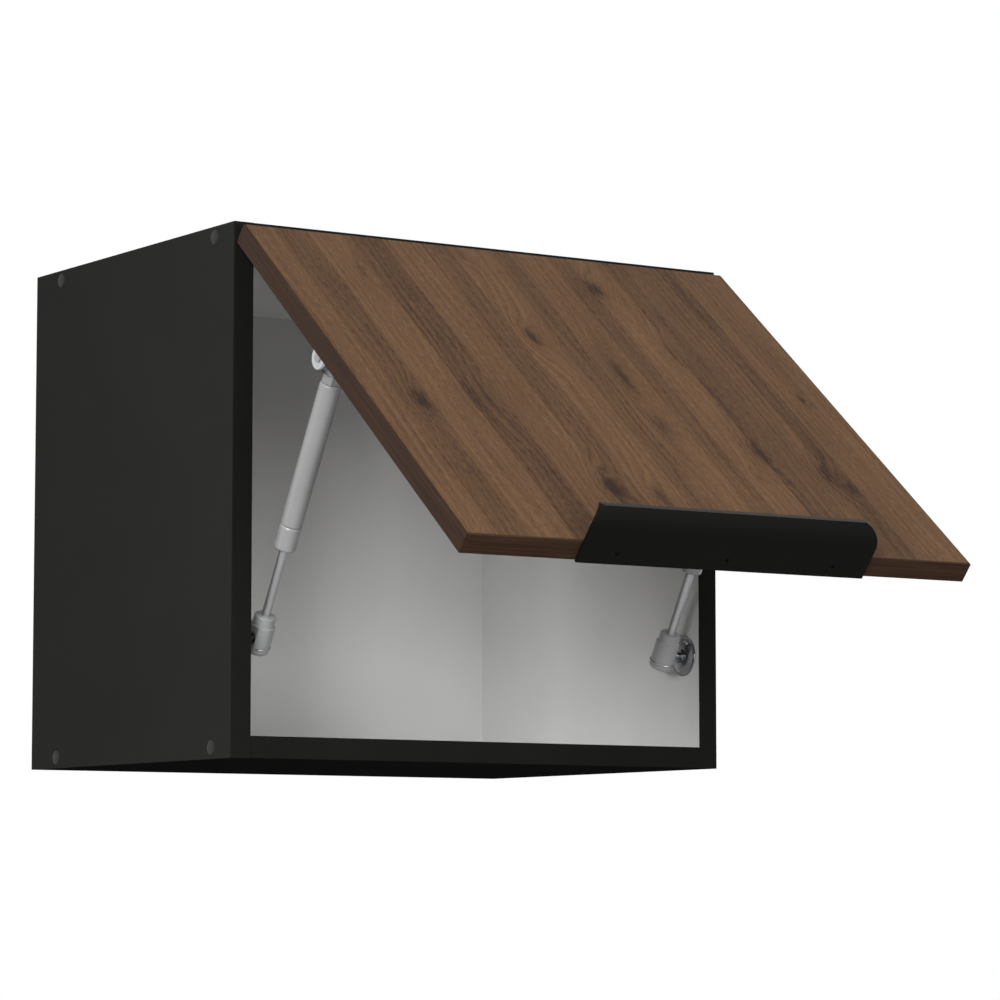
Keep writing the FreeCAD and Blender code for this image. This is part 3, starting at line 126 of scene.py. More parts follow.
class CabinetDetails(bpy.types.PropertyGroup):
    """Sizes of the details that the finished pieces add."""

    band_round: FloatProperty(
        name="Band rounding", description="Rounding of the carcass bands' front edges",
        subtype="DISTANCE", unit="LENGTH", min=0.0001, max=0.0008, default=0.5 * MM,
    )
    arris: FloatProperty(
        name="Arris", description="Rounding that the boards' edges show in the light",
        subtype="DISTANCE", unit="LENGTH", min=0, max=0.001, default=0.35 * MM,
    )
    thread_pitch: FloatProperty(
        name="Thread pitch", description="Pitch of the small wood screws' thread",
        subtype="DISTANCE", unit="LENGTH", min=0.001, max=0.003, default=1.6 * MM,
    )


class CabinetStudio(bpy.types.PropertyGroup):
    """The studio around the cabinet."""

    key_power: FloatProperty(
        name="Key light", description="Power of the large light from the left",
        subtype="POWER", unit="POWER", min=0, default=72,
    )
    front_power: FloatProperty(
        name="Front light", description="Power of the level light in front",
        subtype="POWER", unit="POWER", min=0, default=30,
    )
    top_power: FloatProperty(
        name="Top light", description="Power of the light overhead",
        subtype="POWER", unit="POWER", min=0, default=11,
    )
    back_power: FloatProperty(
        name="Back light", description="Power of the light behind the cabinet",
        subtype="POWER", unit="POWER", min=0, default=30,
    )
    sky: FloatProperty(
        name="Surrounding light", description="Strength of the even light from all round",
        min=0, max=2, default=0.14,
    )
    floor_drop: FloatProperty(
        name="Floor", description="Bottom of the cabinet down to the floor",
        subtype="DISTANCE", unit="LENGTH", min=0.1, default=1.5,
    )


# ---------------------------------------------------------------- materials
MATH = "ShaderNodeMath"
NOISE = "ShaderNodeTexNoise"
MAPPING = "ShaderNodeMapping"


def add(tree, kind, inputs=None, stops=None, **settings):
    """One shader node with its settings, and its inputs as plain values or as sockets to link."""
    node = tree.nodes.new(kind)
    for name, value in settings.items():
        setattr(node, name, value)
    for key, value in (inputs or {}).items():
        if isinstance(value, bpy.types.NodeSocket):
            tree.links.new(value, node.inputs[key])
        else:
            node.inputs[key].default_value = value
    if stops:
        elements = node.color_ramp.elements
        while len(elements) < len(stops):
            elements.new(1.0)
        for element, (place, grey) in zip(elements, stops):
            element.position = place
            element.color = (grey, grey, grey, 1)
    return node


def new_material(name):
    """An empty material: its tree, its shader and the object's own coordinates in millimetres."""
    material = bpy.data.materials.new(name)
    material.use_nodes = True
    tree = material.node_tree
    tree.nodes.clear()
    shader = add(tree, "ShaderNodeBsdfPrincipled")
    add(tree, "ShaderNodeOutputMaterial", {"Surface": shader.outputs["BSDF"]})
    metres = add(tree, "ShaderNodeTexCoord").outputs["Object"]
    mm = add(tree, MAPPING, {"Vector": metres, "Scale": (1 / MM,) * 3}).outputs["Vector"]
    return material, tree, shader, mm


def drifting(tree, mm, colour, shift, patch_mm):
    """A colour whose brightness drifts a little from patch to patch."""
    patch = add(tree, NOISE, {"Vector": mm, "Scale": 1 / patch_mm, "Detail": 2.0})
    # The noise stays near its middle, so 0.3 to 0.7 holds nearly all of it.
    tone = add(
        tree, "ShaderNodeMapRange",
        {
            "Value": patch.outputs["Fac"], "From Min": 0.3, "From Max": 0.7,
            "To Min": 1 - shift, "To Max": 1 + shift,
        },
    )
    varied = add(tree, "ShaderNodeHueSaturation", {"Color": colour, "Value": tone.outputs["Result"]})
    return varied.outputs["Color"]


def rough_and_bumped(tree, shader, height, roughness, spread, depth_mm, normal=None):
    """Roughness that follows a height, and the bump of that height."""
    rough = add(
        tree, "ShaderNodeMapRange",
        {"Value": height, "To Min": roughness - spread, "To Max": roughness + spread},
    )
    tree.links.new(rough.outputs["Result"], shader.inputs["Roughness"])
    inputs = {"Height": height, "Distance": depth_mm * MM}
    if normal:
        inputs["Normal"] = normal
    bump = add(tree, "ShaderNodeBump", inputs)
    tree.links.new(bump.outputs["Normal"], shader.inputs["Normal"])


def surface(
    name, colour, roughness, grain_mm, depth_mm, shift=0.06, patch_mm=40, lines=(1, 1, 1), **shader_values
):
    """A finish of one colour with a fine grain, drawn out along lines where a tool or die left them."""
    material, tree, shader, mm = new_material(name)
    drift = drifting(tree, mm, (*colour, 1), shift, patch_mm)
    tree.links.new(drift, shader.inputs["Base Color"])
    drawn = add(tree, MAPPING, {"Vector": mm, "Scale": [1 / part for part in lines]})
    grain = add(tree, NOISE, {"Vector": drawn.outputs["Vector"], "Scale": 1 / grain_mm, "Detail": 3.0})
    rough_and_bumped(tree, shader, grain.outputs["Fac"], roughness, spread=0.06, depth_mm=depth_mm)
    for key, value in shader_values.items():
        shader.inputs[key.replace("_", " ").title().replace("Ior", "IOR")].default_value = value
    return material


def melamine_board(outside, inside, arris):
    """Particle board faced with melamine paper, pressed against a fine pearl-textured plate.

    It gives a dull black outside and a dull white inside, and bare particles on the rear edges.
    """
    material, tree, shader, mm = new_material("melamine_faced_particle_board")
    axes = add(tree, "ShaderNodeSeparateXYZ", {"Vector": mm})
    # White is all that lies between the side boards, and between the top and the bottom board,
    # with the skin of their inner faces.
    skin = 0.3
    reach = add(tree, MATH, {0: axes.outputs["X"]}, operation="ABSOLUTE")
    between = add(tree, MATH, {0: reach.outputs[0], 1: INNER_X + skin}, operation="LESS_THAN")
    level = add(
        tree, MATH, {0: axes.outputs["Z"], 1: HEIGHT / 2, 2: HEIGHT / 2 - BOARD + skin}, operation="COMPARE"
    )
    white = add(tree, MATH, {0: between.outputs[0], 1: level.outputs[0]}, operation="MULTIPLY")
    faces = add(
        tree, "ShaderNodeMix", {"Factor": white.outputs[0], "A": (*outside, 1), "B": (*inside, 1)},
        data_type="RGBA",
    )
    # Particles of 1 to 3 mm, pressed flat. They show only on the sawn rear edges, behind y = -0.2.
    particles = add(tree, "ShaderNodeTexVoronoi", {"Vector": mm, "Scale": 0.45, "Randomness": 1.0})
    flakes = add(
        tree, "ShaderNodeMapRange", {"Value": particles.outputs["Distance"], "To Min": 0.55, "To Max": 1.2}
    )
    raw_wood = add(
        tree, "ShaderNodeHueSaturation",
        {"Color": (*linear("#b79a72"), 1), "Value": flakes.outputs["Result"]},
    )
    sawn = add(tree, MATH, {0: axes.outputs["Y"], 1: -0.2}, operation="GREATER_THAN")
    colour = add(
        tree, "ShaderNodeMix",
        {"Factor": sawn.outputs[0], "A": faces.outputs["Result"], "B": raw_wood.outputs["Color"]},
        data_type="RGBA",
    )
    drift = drifting(tree, mm, colour.outputs["Result"], shift=0.03, patch_mm=80)
    tree.links.new(drift, shader.inputs["Base Color"])
    # The plate's pearl texture is about 0.5 mm; 0.8 mm is as fine as the render can show.
    pearl = add(tree, NOISE, {"Vector": mm, "Scale": 1 / 0.8, "Detail": 2.0})
    edge = add(tree, "ShaderNodeBevel", {"Radius": arris}, samples=4)
    rough_and_bumped(
        tree, shader, pearl.outputs["Fac"], 0.6, spread=0.06, depth_mm=0.03, normal=edge.outputs["Normal"]
    )
    shader.inputs["Specular IOR Level"].default_value = 0.0
    return material


def hardboard_back(inside):
    """Thin hardboard lacquered white on its face; the rear shows brown pressed fibre."""
    material, tree, shader, mm = new_material("white_lacquered_hardboard")
    axes = add(tree, "ShaderNodeSeparateXYZ", {"Vector": mm})
    # The bare rear face lies behind y = -7.9.
    rear = add(tree, MATH, {0: axes.outputs["Y"], 1: -7.9}, operation="GREATER_THAN")
    fibres = add(tree, NOISE, {"Vector": mm, "Scale": 1 / 1.6, "Detail": 4.0})
    brown = add(
        tree, "ShaderNodeHueSaturation",
        {"Color": (*linear("#9a7550"), 1), "Value": fibres.outputs["Fac"]},
    )
    colour = add(
        tree, "ShaderNodeMix",
        {"Factor": rear.outputs[0], "A": (*inside, 1), "B": brown.outputs["Color"]}, data_type="RGBA",
    )
    drift = drifting(tree, mm, colour.outputs["Result"], shift=0.02, patch_mm=90)
    tree.links.new(drift, shader.inputs["Base Color"])
    rough_and_bumped(tree, shader, fibres.outputs["Fac"], 0.45, spread=0.08, depth_mm=0.03)
    return material


# Walnut planks on the door's laminate: right-hand edge of each plank across the closed door in mm,
# and its tone, from 0 for the darkest to 1 for the lightest. The decor is 400 mm wide.
DECOR_WIDTH = 400
PLANKS = (
    (-176, 0.62), (-150, 0.38), (-118, 0.70), (-92, 0.30), (-60, 0.66), (-38, 0.42), (-6, 0.74),
    (14, 0.46), (44, 0.70), (62, 0.44), (92, 0.76), (108, 0.34), (138, 0.50), (154, 0.30), (181, 0.64),
    (199, 0.74),
)
# Knots: place across and up the closed door, reach across and along the grain in mm, and darkness.
KNOTS = (
    (66, 315, 7, 16, 1.0), (-25, 241, 6, 15, 0.75), (-58, 60, 8, 17, 1.0), (-158, 148, 7, 15, 0.8),
    (89, 237, 5, 22, 0.6), (27, 200, 6, 28, 0.7), (26, 139, 8, 22, 0.6), (92, 115, 7, 20, 0.75),
    (-115, 158, 9, 24, 0.4), (-24, 54, 7, 18, 0.5), (136, 95, 7, 16, 0.6), (148, 80, 5, 10, 0.4),
    (173, 189, 3, 7, 0.8), (-127, 306, 4, 12, 0.4), (-31, 346, 5, 10, 0.5), (74, 84, 3, 7, 0.4),
)
# Arches of flat-sawn growth: place of the tip, half width, and reach along the grain in mm.
ARCHES = ((-25, 323, 17, 130), (74, 139, 14, 120), (-100, 210, 15, 120), (4, 90, 12, 80), (140, 60, 12, 90))


def walnut_laminate(light, dark):
    """High-pressure laminate with a printed walnut decor of narrow planks, pressed with pore lines.

    The eye sees planks of different tone, straight fine grain, some arches and small dark knots,
    under a dull even sheen.
    """
    material, tree, shader, mm = new_material("walnut_laminate")

    # The door hangs open at rest, so its coordinates are turned back to the closed door first.
    closed = add(
        tree, MAPPING, {"Vector": mm, "Rotation": (OPEN_ANGLE, 0, 0), "Location": DOOR_SHIFT}
    ).outputs["Vector"]
    axes = add(tree, "ShaderNodeSeparateXYZ", {"Vector": closed})
    across, along = axes.outputs["X"], axes.outputs["Z"]

    # Planks: each has its own tone, and growth of its own that the tone seeds.
    stops = [(0.0, PLANKS[0][1])]
    for (edge, _), (_, tone) in zip(PLANKS, PLANKS[1:]):
        stops.append((edge / DECOR_WIDTH + 0.5, tone))
    share = add(tree, MATH, {0: across, 1: 1 / DECOR_WIDTH, 2: 0.5}, operation="MULTIPLY_ADD")
    plank = add(tree, "ShaderNodeValToRGB", {"Fac": share.outputs[0]}, stops=stops)
    plank.color_ramp.interpolation = "CONSTANT"
    tone = plank.outputs["Color"]
    seed = add(tree, MATH, {0: tone, 1: 37.0}, operation="MULTIPLY").outputs[0]

    # Growth lines, one to 2.5 mm. They wander over 28 mm across the grain and 210 mm along it.
    slow = add(tree, MAPPING, {"Vector": closed, "Scale": (1 / 28, 1 / 28, 1 / 210)})
    wander = add(
        tree, NOISE, {"Vector": slow.outputs["Vector"], "W": seed, "Scale": 1.0, "Detail": 2.0},
        noise_dimensions="4D",
    )
    straight = add(tree, MATH, {0: across, 1: 1 / 2.5}, operation="MULTIPLY")
    lines = add(
        tree, MATH, {0: wander.outputs["Fac"], 1: 9.0, 2: straight.outputs[0]}, operation="MULTIPLY_ADD"
    ).outputs[0]

    # A knot pushes the lines aside, most at its middle, and darkens its core and a halo round it.
    shade = 0.0
    for x, z, wide, tall, depth in KNOTS:
        spot = add(
            tree, MAPPING,
            {"Vector": closed, "Location": (-x / wide, 0, -z / tall), "Scale": (1 / wide, 0, 1 / tall)},
        ).outputs["Vector"]
        far = add(tree, "ShaderNodeVectorMath", {0: spot, 1: spot}, operation="DOT_PRODUCT")
        near = add(tree, MATH, {0: math.exp(-0.35), 1: far.outputs["Value"]}, operation="POWER").outputs[0]
        lines = add(tree, MATH, {0: near, 1: 6.5 * depth, 2: lines}, operation="MULTIPLY_ADD").outputs[0]
        core = add(tree, MATH, {0: near, 1: 6.0}, operation="POWER")
        halo = add(tree, MATH, {0: near, 1: 0.35, 2: core.outputs[0]}, operation="MULTIPLY_ADD")
        knot = add(tree, MATH, {0: halo.outputs[0], 1: depth}, operation="MULTIPLY")
        shade = add(tree, MATH, {0: shade, 1: knot.outputs[0]}, operation="MAXIMUM").outputs[0]

    # An arch adds lines inside its curve, from its tip down, and they fade out along its reach.
    for x, z, wide, tall in ARCHES:
        spot = add(
            tree, MAPPING,
            {"Vector": closed, "Location": (-x / wide, 0, z / tall), "Scale": (1 / wide, 0, -1 / tall)},
        )
        parts = add(tree, "ShaderNodeSeparateXYZ", {"Vector": spot.outputs["Vector"]})
        aside, down = parts.outputs["X"], parts.outputs["Z"]
        fall = add(tree, MATH, {0: down, 1: 6.0}, operation="MULTIPLY")
        curve = add(tree, MATH, {0: aside, 1: aside}, operation="MULTIPLY")
        arch = add(
            tree, MATH, {0: curve.outputs[0], 1: -2.2, 2: fall.outputs[0]}, operation="MULTIPLY_ADD"
        )
        within = add(tree, MATH, {0: arch.outputs[0], 1: 0.0}, operation="MAXIMUM")
        fade = add(tree, MATH, {0: 1.0, 1: down}, operation="SUBTRACT", use_clamp=True)
        lines = add(
            tree, MATH, {0: within.outputs[0], 1: fade.outputs[0], 2: lines}, operation="MULTIPLY_ADD"
        ).outputs[0]

    # Pores are about 0.2 mm wide; 0.6 mm is as fine as the render can show.
    fine = add(tree, MAPPING, {"Vector": closed, "Scale": (1 / 0.6, 1 / 0.6, 1 / 7)})
    fibres = add(
        tree, NOISE, {"Vector": fine.outputs["Vector"], "Scale": 1.0, "Detail": 3.0, "Roughness": 0.6}
    ).outputs["Fac"]
    # Growth follows the bent lines, in streaks 90 mm long.
    streak = add(tree, MATH, {0: along, 1: 1 / 90}, operation="MULTIPLY")
    bent = add(tree, "ShaderNodeCombineXYZ", {"X": lines, "Y": streak.outputs[0]})
    growth = add(
        tree, NOISE,
        {"Vector": bent.outputs[0], "W": seed, "Scale": 0.9, "Detail": 6.0, "Roughness": 0.68},
        noise_dimensions="4D",
    ).outputs["Fac"]
    ragged = add(tree, MATH, {0: growth, 1: 2.0, 2: lines}, operation="MULTIPLY_ADD")
    turns = add(tree, MATH, {0: ragged.outputs[0], 1: math.tau * 0.4}, operation="MULTIPLY")
    rings = add(tree, MATH, {0: turns.outputs[0]}, operation="SINE").outputs[0]
    # Clouds of tone, 20 mm across the grain and 60 mm along it.
    broad = add(tree, MAPPING, {"Vector": closed, "Scale": (1 / 20, 1 / 20, 1 / 60)})
    clouds = add(tree, NOISE, {"Vector": broad.outputs["Vector"], "Scale": 1.0, "Detail": 2.0}).outputs["Fac"]

    # How far each pattern moves the wood from dark, 0, to light, 1. The noises lie about a half.
    noises = ((fibres, 1.9), (growth, 1.3), (clouds, 0.35))
    level = 0.04 - sum(weight for _, weight in noises) / 2
    for pattern, weight in ((tone, 0.85), (rings, 0.08), *noises, (shade, -0.62)):
        level = add(tree, MATH, {0: pattern, 1: weight, 2: level}, operation="MULTIPLY_ADD").outputs[0]
    # Past these ends the mixed colour would turn blue-black or glaring.
    held = add(tree, "ShaderNodeClamp", {"Value": level, "Min": -0.12, "Max": 1.2})
    wood = add(
        tree, "ShaderNodeMix", {"Factor": held.outputs["Result"], "A": (*dark, 1), "B": (*light, 1)},
        data_type="RGBA", clamp_factor=False,
    )
    tree.links.new(wood.outputs["Result"], shader.inputs["Base Color"])
    # The pore lines are pressed 0.05 mm deep.
    rough_and_bumped(tree, shader, fibres, 0.55, spread=0.08, depth_mm=0.05)
    shader.inputs["Specular IOR Level"].default_value = 0.06
    return material


def walnut_band(light, dark):
    """Extruded edge band with a printed walnut grain along the edge: a plainer, darker wood look."""
    material, tree, shader, mm = new_material("walnut_edge_band")
    turned = add(tree, MAPPING, {"Vector": mm, "Rotation": (OPEN_ANGLE, 0, 0)}).outputs["Vector"]
    axes = add(tree, "ShaderNodeSeparateXYZ", {"Vector": turned})
    reach = add(tree, MATH, {0: axes.outputs["X"]}, operation="ABSOLUTE")
    on_side = add(tree, MATH, {0: reach.outputs[0], 1: SIDE_BAND_X}, operation="GREATER_THAN")
    # Grain 1.1 mm wide and 60 mm long runs up the door on the side edges, and across it on the other two.
    grains = []
    for scale in ((1 / 60, 1 / 1.1, 1 / 1.1), (1 / 1.1, 1 / 1.1, 1 / 60)):
        drawn = add(tree, MAPPING, {"Vector": turned, "Scale": scale})
        grains.append(add(tree, NOISE, {"Vector": drawn.outputs["Vector"], "Scale": 1.0, "Detail": 4.0}))
    level, up = grains
    grain = add(
        tree, "ShaderNodeMix",
        {"Factor": on_side.outputs[0], 2: level.outputs["Fac"], 3: up.outputs["Fac"]}, data_type="FLOAT",
    )
    spread = add(
        tree, "ShaderNodeMapRange",
        {"Value": grain.outputs[0], "From Min": 0.3, "From Max": 0.7, "To Min": -0.14, "To Max": 0.1},
    )
    wood = add(
        tree, "ShaderNodeMix", {"Factor": spread.outputs["Result"], "A": (*dark, 1), "B": (*light, 1)},
        data_type="RGBA", clamp_factor=False,
    )
    tree.links.new(wood.outputs["Result"], shader.inputs["Base Color"])
    rough_and_bumped(tree, shader, grain.outputs[0], 0.55, spread=0.06, depth_mm=0.03)
    shader.inputs["Specular IOR Level"].default_value = 0.1
    return material


METAL = {"metallic": 1.0}
# Every other finish: its colour, roughness, grain and depth in mm, and what differs from a plain dull solid.
FINISHES = {
    # ABS band, extruded and brushed flat: as dull as the boards, and a little darker.
    "abs_edge_band": dict(
        colour="#20201f", roughness=0.6, grain_mm=0.8, depth_mm=0.02, specular_ior_level=0.0,
    ),
    # Polyethylene, moulded: waxy and dull, a touch darker than the board.
    "polyethylene_cap": dict(
        colour="#2c2c2b", roughness=0.5, grain_mm=1.0, depth_mm=0.01, specular_ior_level=0.15,
    ),
    # Steel, pressed and zinc plated: pale grey with a slight blue, cloudy in patches.
    "zinc_plated_steel": dict(
        colour="#c3c6c9", roughness=0.34, grain_mm=2.5, depth_mm=0.01, shift=0.1, patch_mm=8, **METAL,
    ),
    # Steel, pressed and nickel plated: warmer and brighter than zinc.
    "nickel_plated_steel": dict(
        colour="#cbc6bd", roughness=0.26, grain_mm=2.0, depth_mm=0.008, patch_mm=15, **METAL,
    ),
    # Zinc alloy, cast and chrome plated: it mirrors the room a little softly, and darker than silver.
    "chrome_plated_zinc": dict(
        colour="#a2a3a5", roughness=0.2, grain_mm=4.0, depth_mm=0.004, shift=0.02, **METAL,
    ),
    # Rod, ground and hard chromed: a soft grey gleam, with fine lines round it.
    "hard_chromed_steel": dict(
        colour="#a9aaab", roughness=0.45, grain_mm=0.6, depth_mm=0.002, lines=(8, 8, 1), **METAL,
    ),
    # Acetal, moulded: light grey, smooth and waxy.
    "moulded_acetal": dict(
        colour="#a4a5a5", roughness=0.38, grain_mm=1.2, depth_mm=0.008, shift=0.03,
    ),
    # Spring steel wire, drawn: dull grey and smooth.
    "drawn_spring_wire": dict(colour="#a9aaac", roughness=0.3, grain_mm=0.5, depth_mm=0.004, **METAL),
    # ABS, moulded: clean white with a soft sheen.
    "moulded_abs": dict(colour="#e4e4e1", roughness=0.36, grain_mm=1.5, depth_mm=0.01, shift=0.02),
    # Silicone, moulded: soft, milky grey.
    "moulded_silicone": dict(
        colour="#c9cac8", roughness=0.3, grain_mm=1.0, depth_mm=0.008, subsurface_weight=0.2,
    ),
    # Beech, turned with pressed flutes: pale, with short fine flecks along the peg.
    "turned_beech": dict(
        colour="#c9a27a", roughness=0.6, grain_mm=0.6, depth_mm=0.05, shift=0.15, lines=(9, 1, 1),
    ),
    # Nitrile rubber and plastic, moulded: dull black.
    "nitrile_rubber": dict(colour="#222222", roughness=0.6, grain_mm=0.8, depth_mm=0.02),
    # Aluminium, turned: pale, with a fine tooled grain.
    "turned_aluminium": dict(colour="#d2d3d4", roughness=0.3, grain_mm=0.4, depth_mm=0.006, **METAL),
}
made = {}


def finish(name):
    """A finish by name, made once."""
    if name in made:
        return made[name]
    looks = bpy.context.scene.cabinet_finishes
    outside, inside = tuple(looks.outside), tuple(looks.inside)
    light, dark = tuple(looks.wood_light), tuple(looks.wood_dark)
    if name == "melamine_board":
        material = melamine_board(outside, inside, bpy.context.scene.cabinet_details.arris)
    elif name == "hardboard_back":
        material = hardboard_back(inside)
    elif name == "walnut_laminate":
        material = walnut_laminate(light, dark)
    elif name == "walnut_band":
        material = walnut_band(light, dark)
    elif name == "strut_enamel":
        # Steel tube, stove enamelled: light grey and half glossy, with a faint orange peel of 2 mm.
        material = surface(
            "light_grey_enamel", tuple(looks.strut), roughness=0.3, grain_mm=2.0, depth_mm=0.012, shift=0.02,
            coat_weight=0.25,
        )
    elif name == "powder_coat":
        # Aluminium, powder coated: near black with a fine even grain, grey where it is seen edge-on.
        material = surface(
            "black_powder_coat", tuple(looks.pull), roughness=0.5, grain_mm=0.6, depth_mm=0.03, shift=0.04,
            patch_mm=60, specular_ior_level=0.05, sheen_weight=0.16, sheen_roughness=0.25,
        )
    else:
        values = dict(FINISHES[name])
        material = surface(name, linear(values.pop("colour")), **values)
    made[name] = material
    return material


def paint(material, *nodes):
    """Give CAD nodes a finish in their own material slots."""
    for node in nodes:
        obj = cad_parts[node]
        if not obj.material_slots:
            obj.data.materials.append(material)
        for place in obj.material_slots:
            place.material = material


def both(*names):
    """The left and right node of each name."""
    return [f"{name}_{side}" for name in names for side in ("left", "right")]


# ---------------------------------------------------------------- shapes
# Edges sharper than this stay sharp in the shading.
SHARP = math.radians(32)


def arc(centre, radius, start, end, steps):
    """Points of an arc in degrees."""
    angles = [math.radians(start + (end - start) * n / steps) for n in range(steps + 1)]
    return [(centre[0] + radius * math.cos(a), centre[1] + radius * math.sin(a)) for a in angles]


def lathe(bm, profile, place=Matrix(), steps=48):
    """Turn (radius, height) points about Z, closed at the ends where the radius is zero."""
    rings = []
    for radius, height in profile:
        if radius < 1e-6:
            rings.append([bm.verts.new(place @ Vector((0, 0, height)))])
            continue
        rings.append([
            bm.verts.new(place @ Vector((radius * math.cos(a), radius * math.sin(a), height)))
            for a in (math.tau * n / steps for n in range(steps))
        ])
    for low, high in zip(rings, rings[1:]):
        for n in range(steps):
            m = n + 1
            corners = (low[n % len(low)], low[m % len(low)], high[m % len(high)], high[n % len(high)])
            unique = list(dict.fromkeys(corners))
            if len(unique) > 2:
                bm.faces.new(unique)


def extrude(bm, section, start, end, place=Matrix()):
    """Extrude a closed section of (x, y) points along Z."""
    low = [bm.verts.new(place @ Vector((x, y, start))) for x, y in section]
    high = [bm.verts.new(place @ Vector((x, y, end))) for x, y in section]
    bm.faces.new(low[::-1])
    bm.faces.new(high)
    for n in range(len(section)):
        m = (n + 1) % len(section)
        bm.faces.new((low[n], low[m], high[m], high[n]))


def soften(bm, width, angle=35):
    """Round every edge sharper than the angle."""
    bm.normal_update()
    edges = [e for e in bm.edges if len(e.link_faces) == 2 and e.calc_face_angle(0) > math.radians(angle)]
    bmesh.ops.bevel(
        bm, geom=edges, offset=width, segments=2, profile=0.6, affect="EDGES", clamp_overlap=True
    )


def to_mesh(name, bm):
    """Turn a drawing into a mesh whose faces look outwards."""
    bmesh.ops.recalc_face_normals(bm, faces=bm.faces)
    mesh = bpy.data.meshes.new(name)
    bm.to_mesh(mesh)
    bm.free()
    return mesh


def weigh_normals(obj):
    """Shade flat faces flat up to the rounded edges beside them."""
    obj.data.set_sharp_from_angle(angle=SHARP)
    weighted = obj.modifiers.new("weighted_normals", "WEIGHTED_NORMAL")
    weighted.keep_sharp = True


def piece(name, bm, material, body, slot, *nodes):
    """Turn the drawn shape into a piece that rides on a body and stands for its CAD nodes."""
    mesh = to_mesh(name, bm)
    mesh.materials.append(material)
    mesh.shade_smooth()
    obj = bpy.data.objects.new(name, mesh)
    bpy.context.scene.collection.objects.link(obj)
    weigh_normals(obj)
    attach(obj, body)
    if nodes:
        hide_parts(*nodes)
    return obj


def carve(obj, bm, operation="DIFFERENCE"):
    """Cut the drawn shape out of a piece, or join it on."""
    cutter = bpy.data.objects.new("cutter", to_mesh("cutter", bm))
    bpy.context.scene.collection.objects.link(cutter)
    obj.modifiers.clear()
    cut = obj.modifiers.new("carve", "BOOLEAN")
    cut.operation = operation
    cut.solver = "EXACT"
    cut.object = cutter
    graph = bpy.context.evaluated_depsgraph_get()
    carved = bpy.data.meshes.new_from_object(obj.evaluated_get(graph))
    obj.modifiers.clear()
    plain = obj.data
    obj.data = carved
    carved.name = plain.name
    bpy.data.meshes.remove(plain)
    bpy.data.objects.remove(cutter)
    weigh_normals(obj)


def cross_screw(bm, place, shank, head, head_height, length, flat=False):
    """A cross-recess wood screw that points down from its head's top, with its thread.

    The head is countersunk and flat, or domed.
    """
    pitch = bpy.context.scene.cabinet_details.thread_pitch / MM
    steps = 24
    chamfer = 0.12
    thread_depth = 0.45
    arm_reach = head * 0.3
    arm = head * 0.075
    recess_depth = max(head_height * 0.75, 1.0)
    recess_taper = 0.55
    top = -chamfer if flat else -chamfer * head_height
    crown = head / 2 - chamfer if flat else head * 0.36

    corners = [
        (arm, arm), (arm, arm_reach), (-arm, arm_reach), (-arm, arm), (-arm_reach, arm), (-arm_reach, -arm),
        (-arm, -arm), (-arm, -arm_reach), (arm, -arm_reach), (arm, -arm), (arm_reach, -arm), (arm_reach, arm),
    ]
    rim = [bm.verts.new(place @ Vector((x, y, top))) for x, y in corners]
    floor = [
        bm.verts.new(place @ Vector((x * recess_taper, y * recess_taper, -recess_depth))) for x, y in corners
    ]
    count = len(corners)
    for n in range(count):
        m = (n + 1) % count
        bm.faces.new((rim[n], rim[m], floor[m], floor[n]))
    bm.faces.new(floor)
    # The head's top fills the space between its round edge and the cross.
    ring = [
        bm.verts.new(place @ Vector((crown * math.cos(a), crown * math.sin(a), top)))
        for a in (math.tau * n / steps for n in range(steps))
    ]
    loop = [bm.edges.new((ring[n], ring[(n + 1) % steps])) for n in range(steps)]
    for n in range(count):
        following = rim[(n + 1) % count]
        loop += [e for e in rim[n].link_edges if e.other_vert(rim[n]) is following]
    bmesh.ops.triangle_fill(bm, use_beauty=True, edges=loop)

    core = shank / 2 - thread_depth
    if flat:
        outer = [(crown, top), (head / 2, -0.3), (shank / 2, -head_height)]
    else:
        outer = [(crown, top), (head * 0.45, -head_height * 0.4), (head / 2, -head_height * 0.8)]
        outer += [(head / 2, -head_height), (shank / 2, -head_height)]
    # The thread starts 1.2 mm under the head and ends 3.2 mm above the tip, which tapers to a point.
    thread, low = [], -head_height - 1.2
    while low > 3.2 - length:
        thread += [(core, low), (shank / 2, low - pitch / 2)]
        low -= pitch
    thread += [(core, low), (core * 0.6, 1.4 - length), (0, -length)]
    lathe(bm, outer + [(shank / 2, -head_height - 0.6)] + thread, place, steps)
    bmesh.ops.remove_doubles(bm, verts=bm.verts, dist=1e-7)


def at(space, x, y, z, turn=Matrix()):
    """A place in millimetres on the cabinet or on the closed door, and how a piece is turned there."""
    return space @ Matrix.Translation((x, y, z)) @ turn


def require(nodes):
    """Stop the script with a plain message when the frame lacks a node."""
    missing = [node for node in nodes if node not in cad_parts]
    if missing:
        raise RuntimeError(f"the frame has no {missing}")


# Sizes of the screws that come in more than one place, in millimetres.
COUNTERSUNK = dict(shank=3.5, head=6.6, head_height=1.55, length=13, flat=True)
DOMED = dict(shank=3.5, head=6, head_height=1.4)
ADJUSTING = dict(shank=5, head=9)


# ---------------------------------------------------------------- operators
class DressBoards(bpy.types.Operator):
    """Give the carcass boards and the back their melamine and lacquer."""

    bl_idname = "cabinet.boards"
    bl_label = "Boards and back"

    def execute(self, context):
        boards = both("side_panel") + ["top_panel", "bottom_panel"]
        require(boards + ["back_panel"])
        paint(finish("melamine_board"), *boards)
        paint(finish("hardboard_back"), "back_panel")
        return {"FINISHED"}


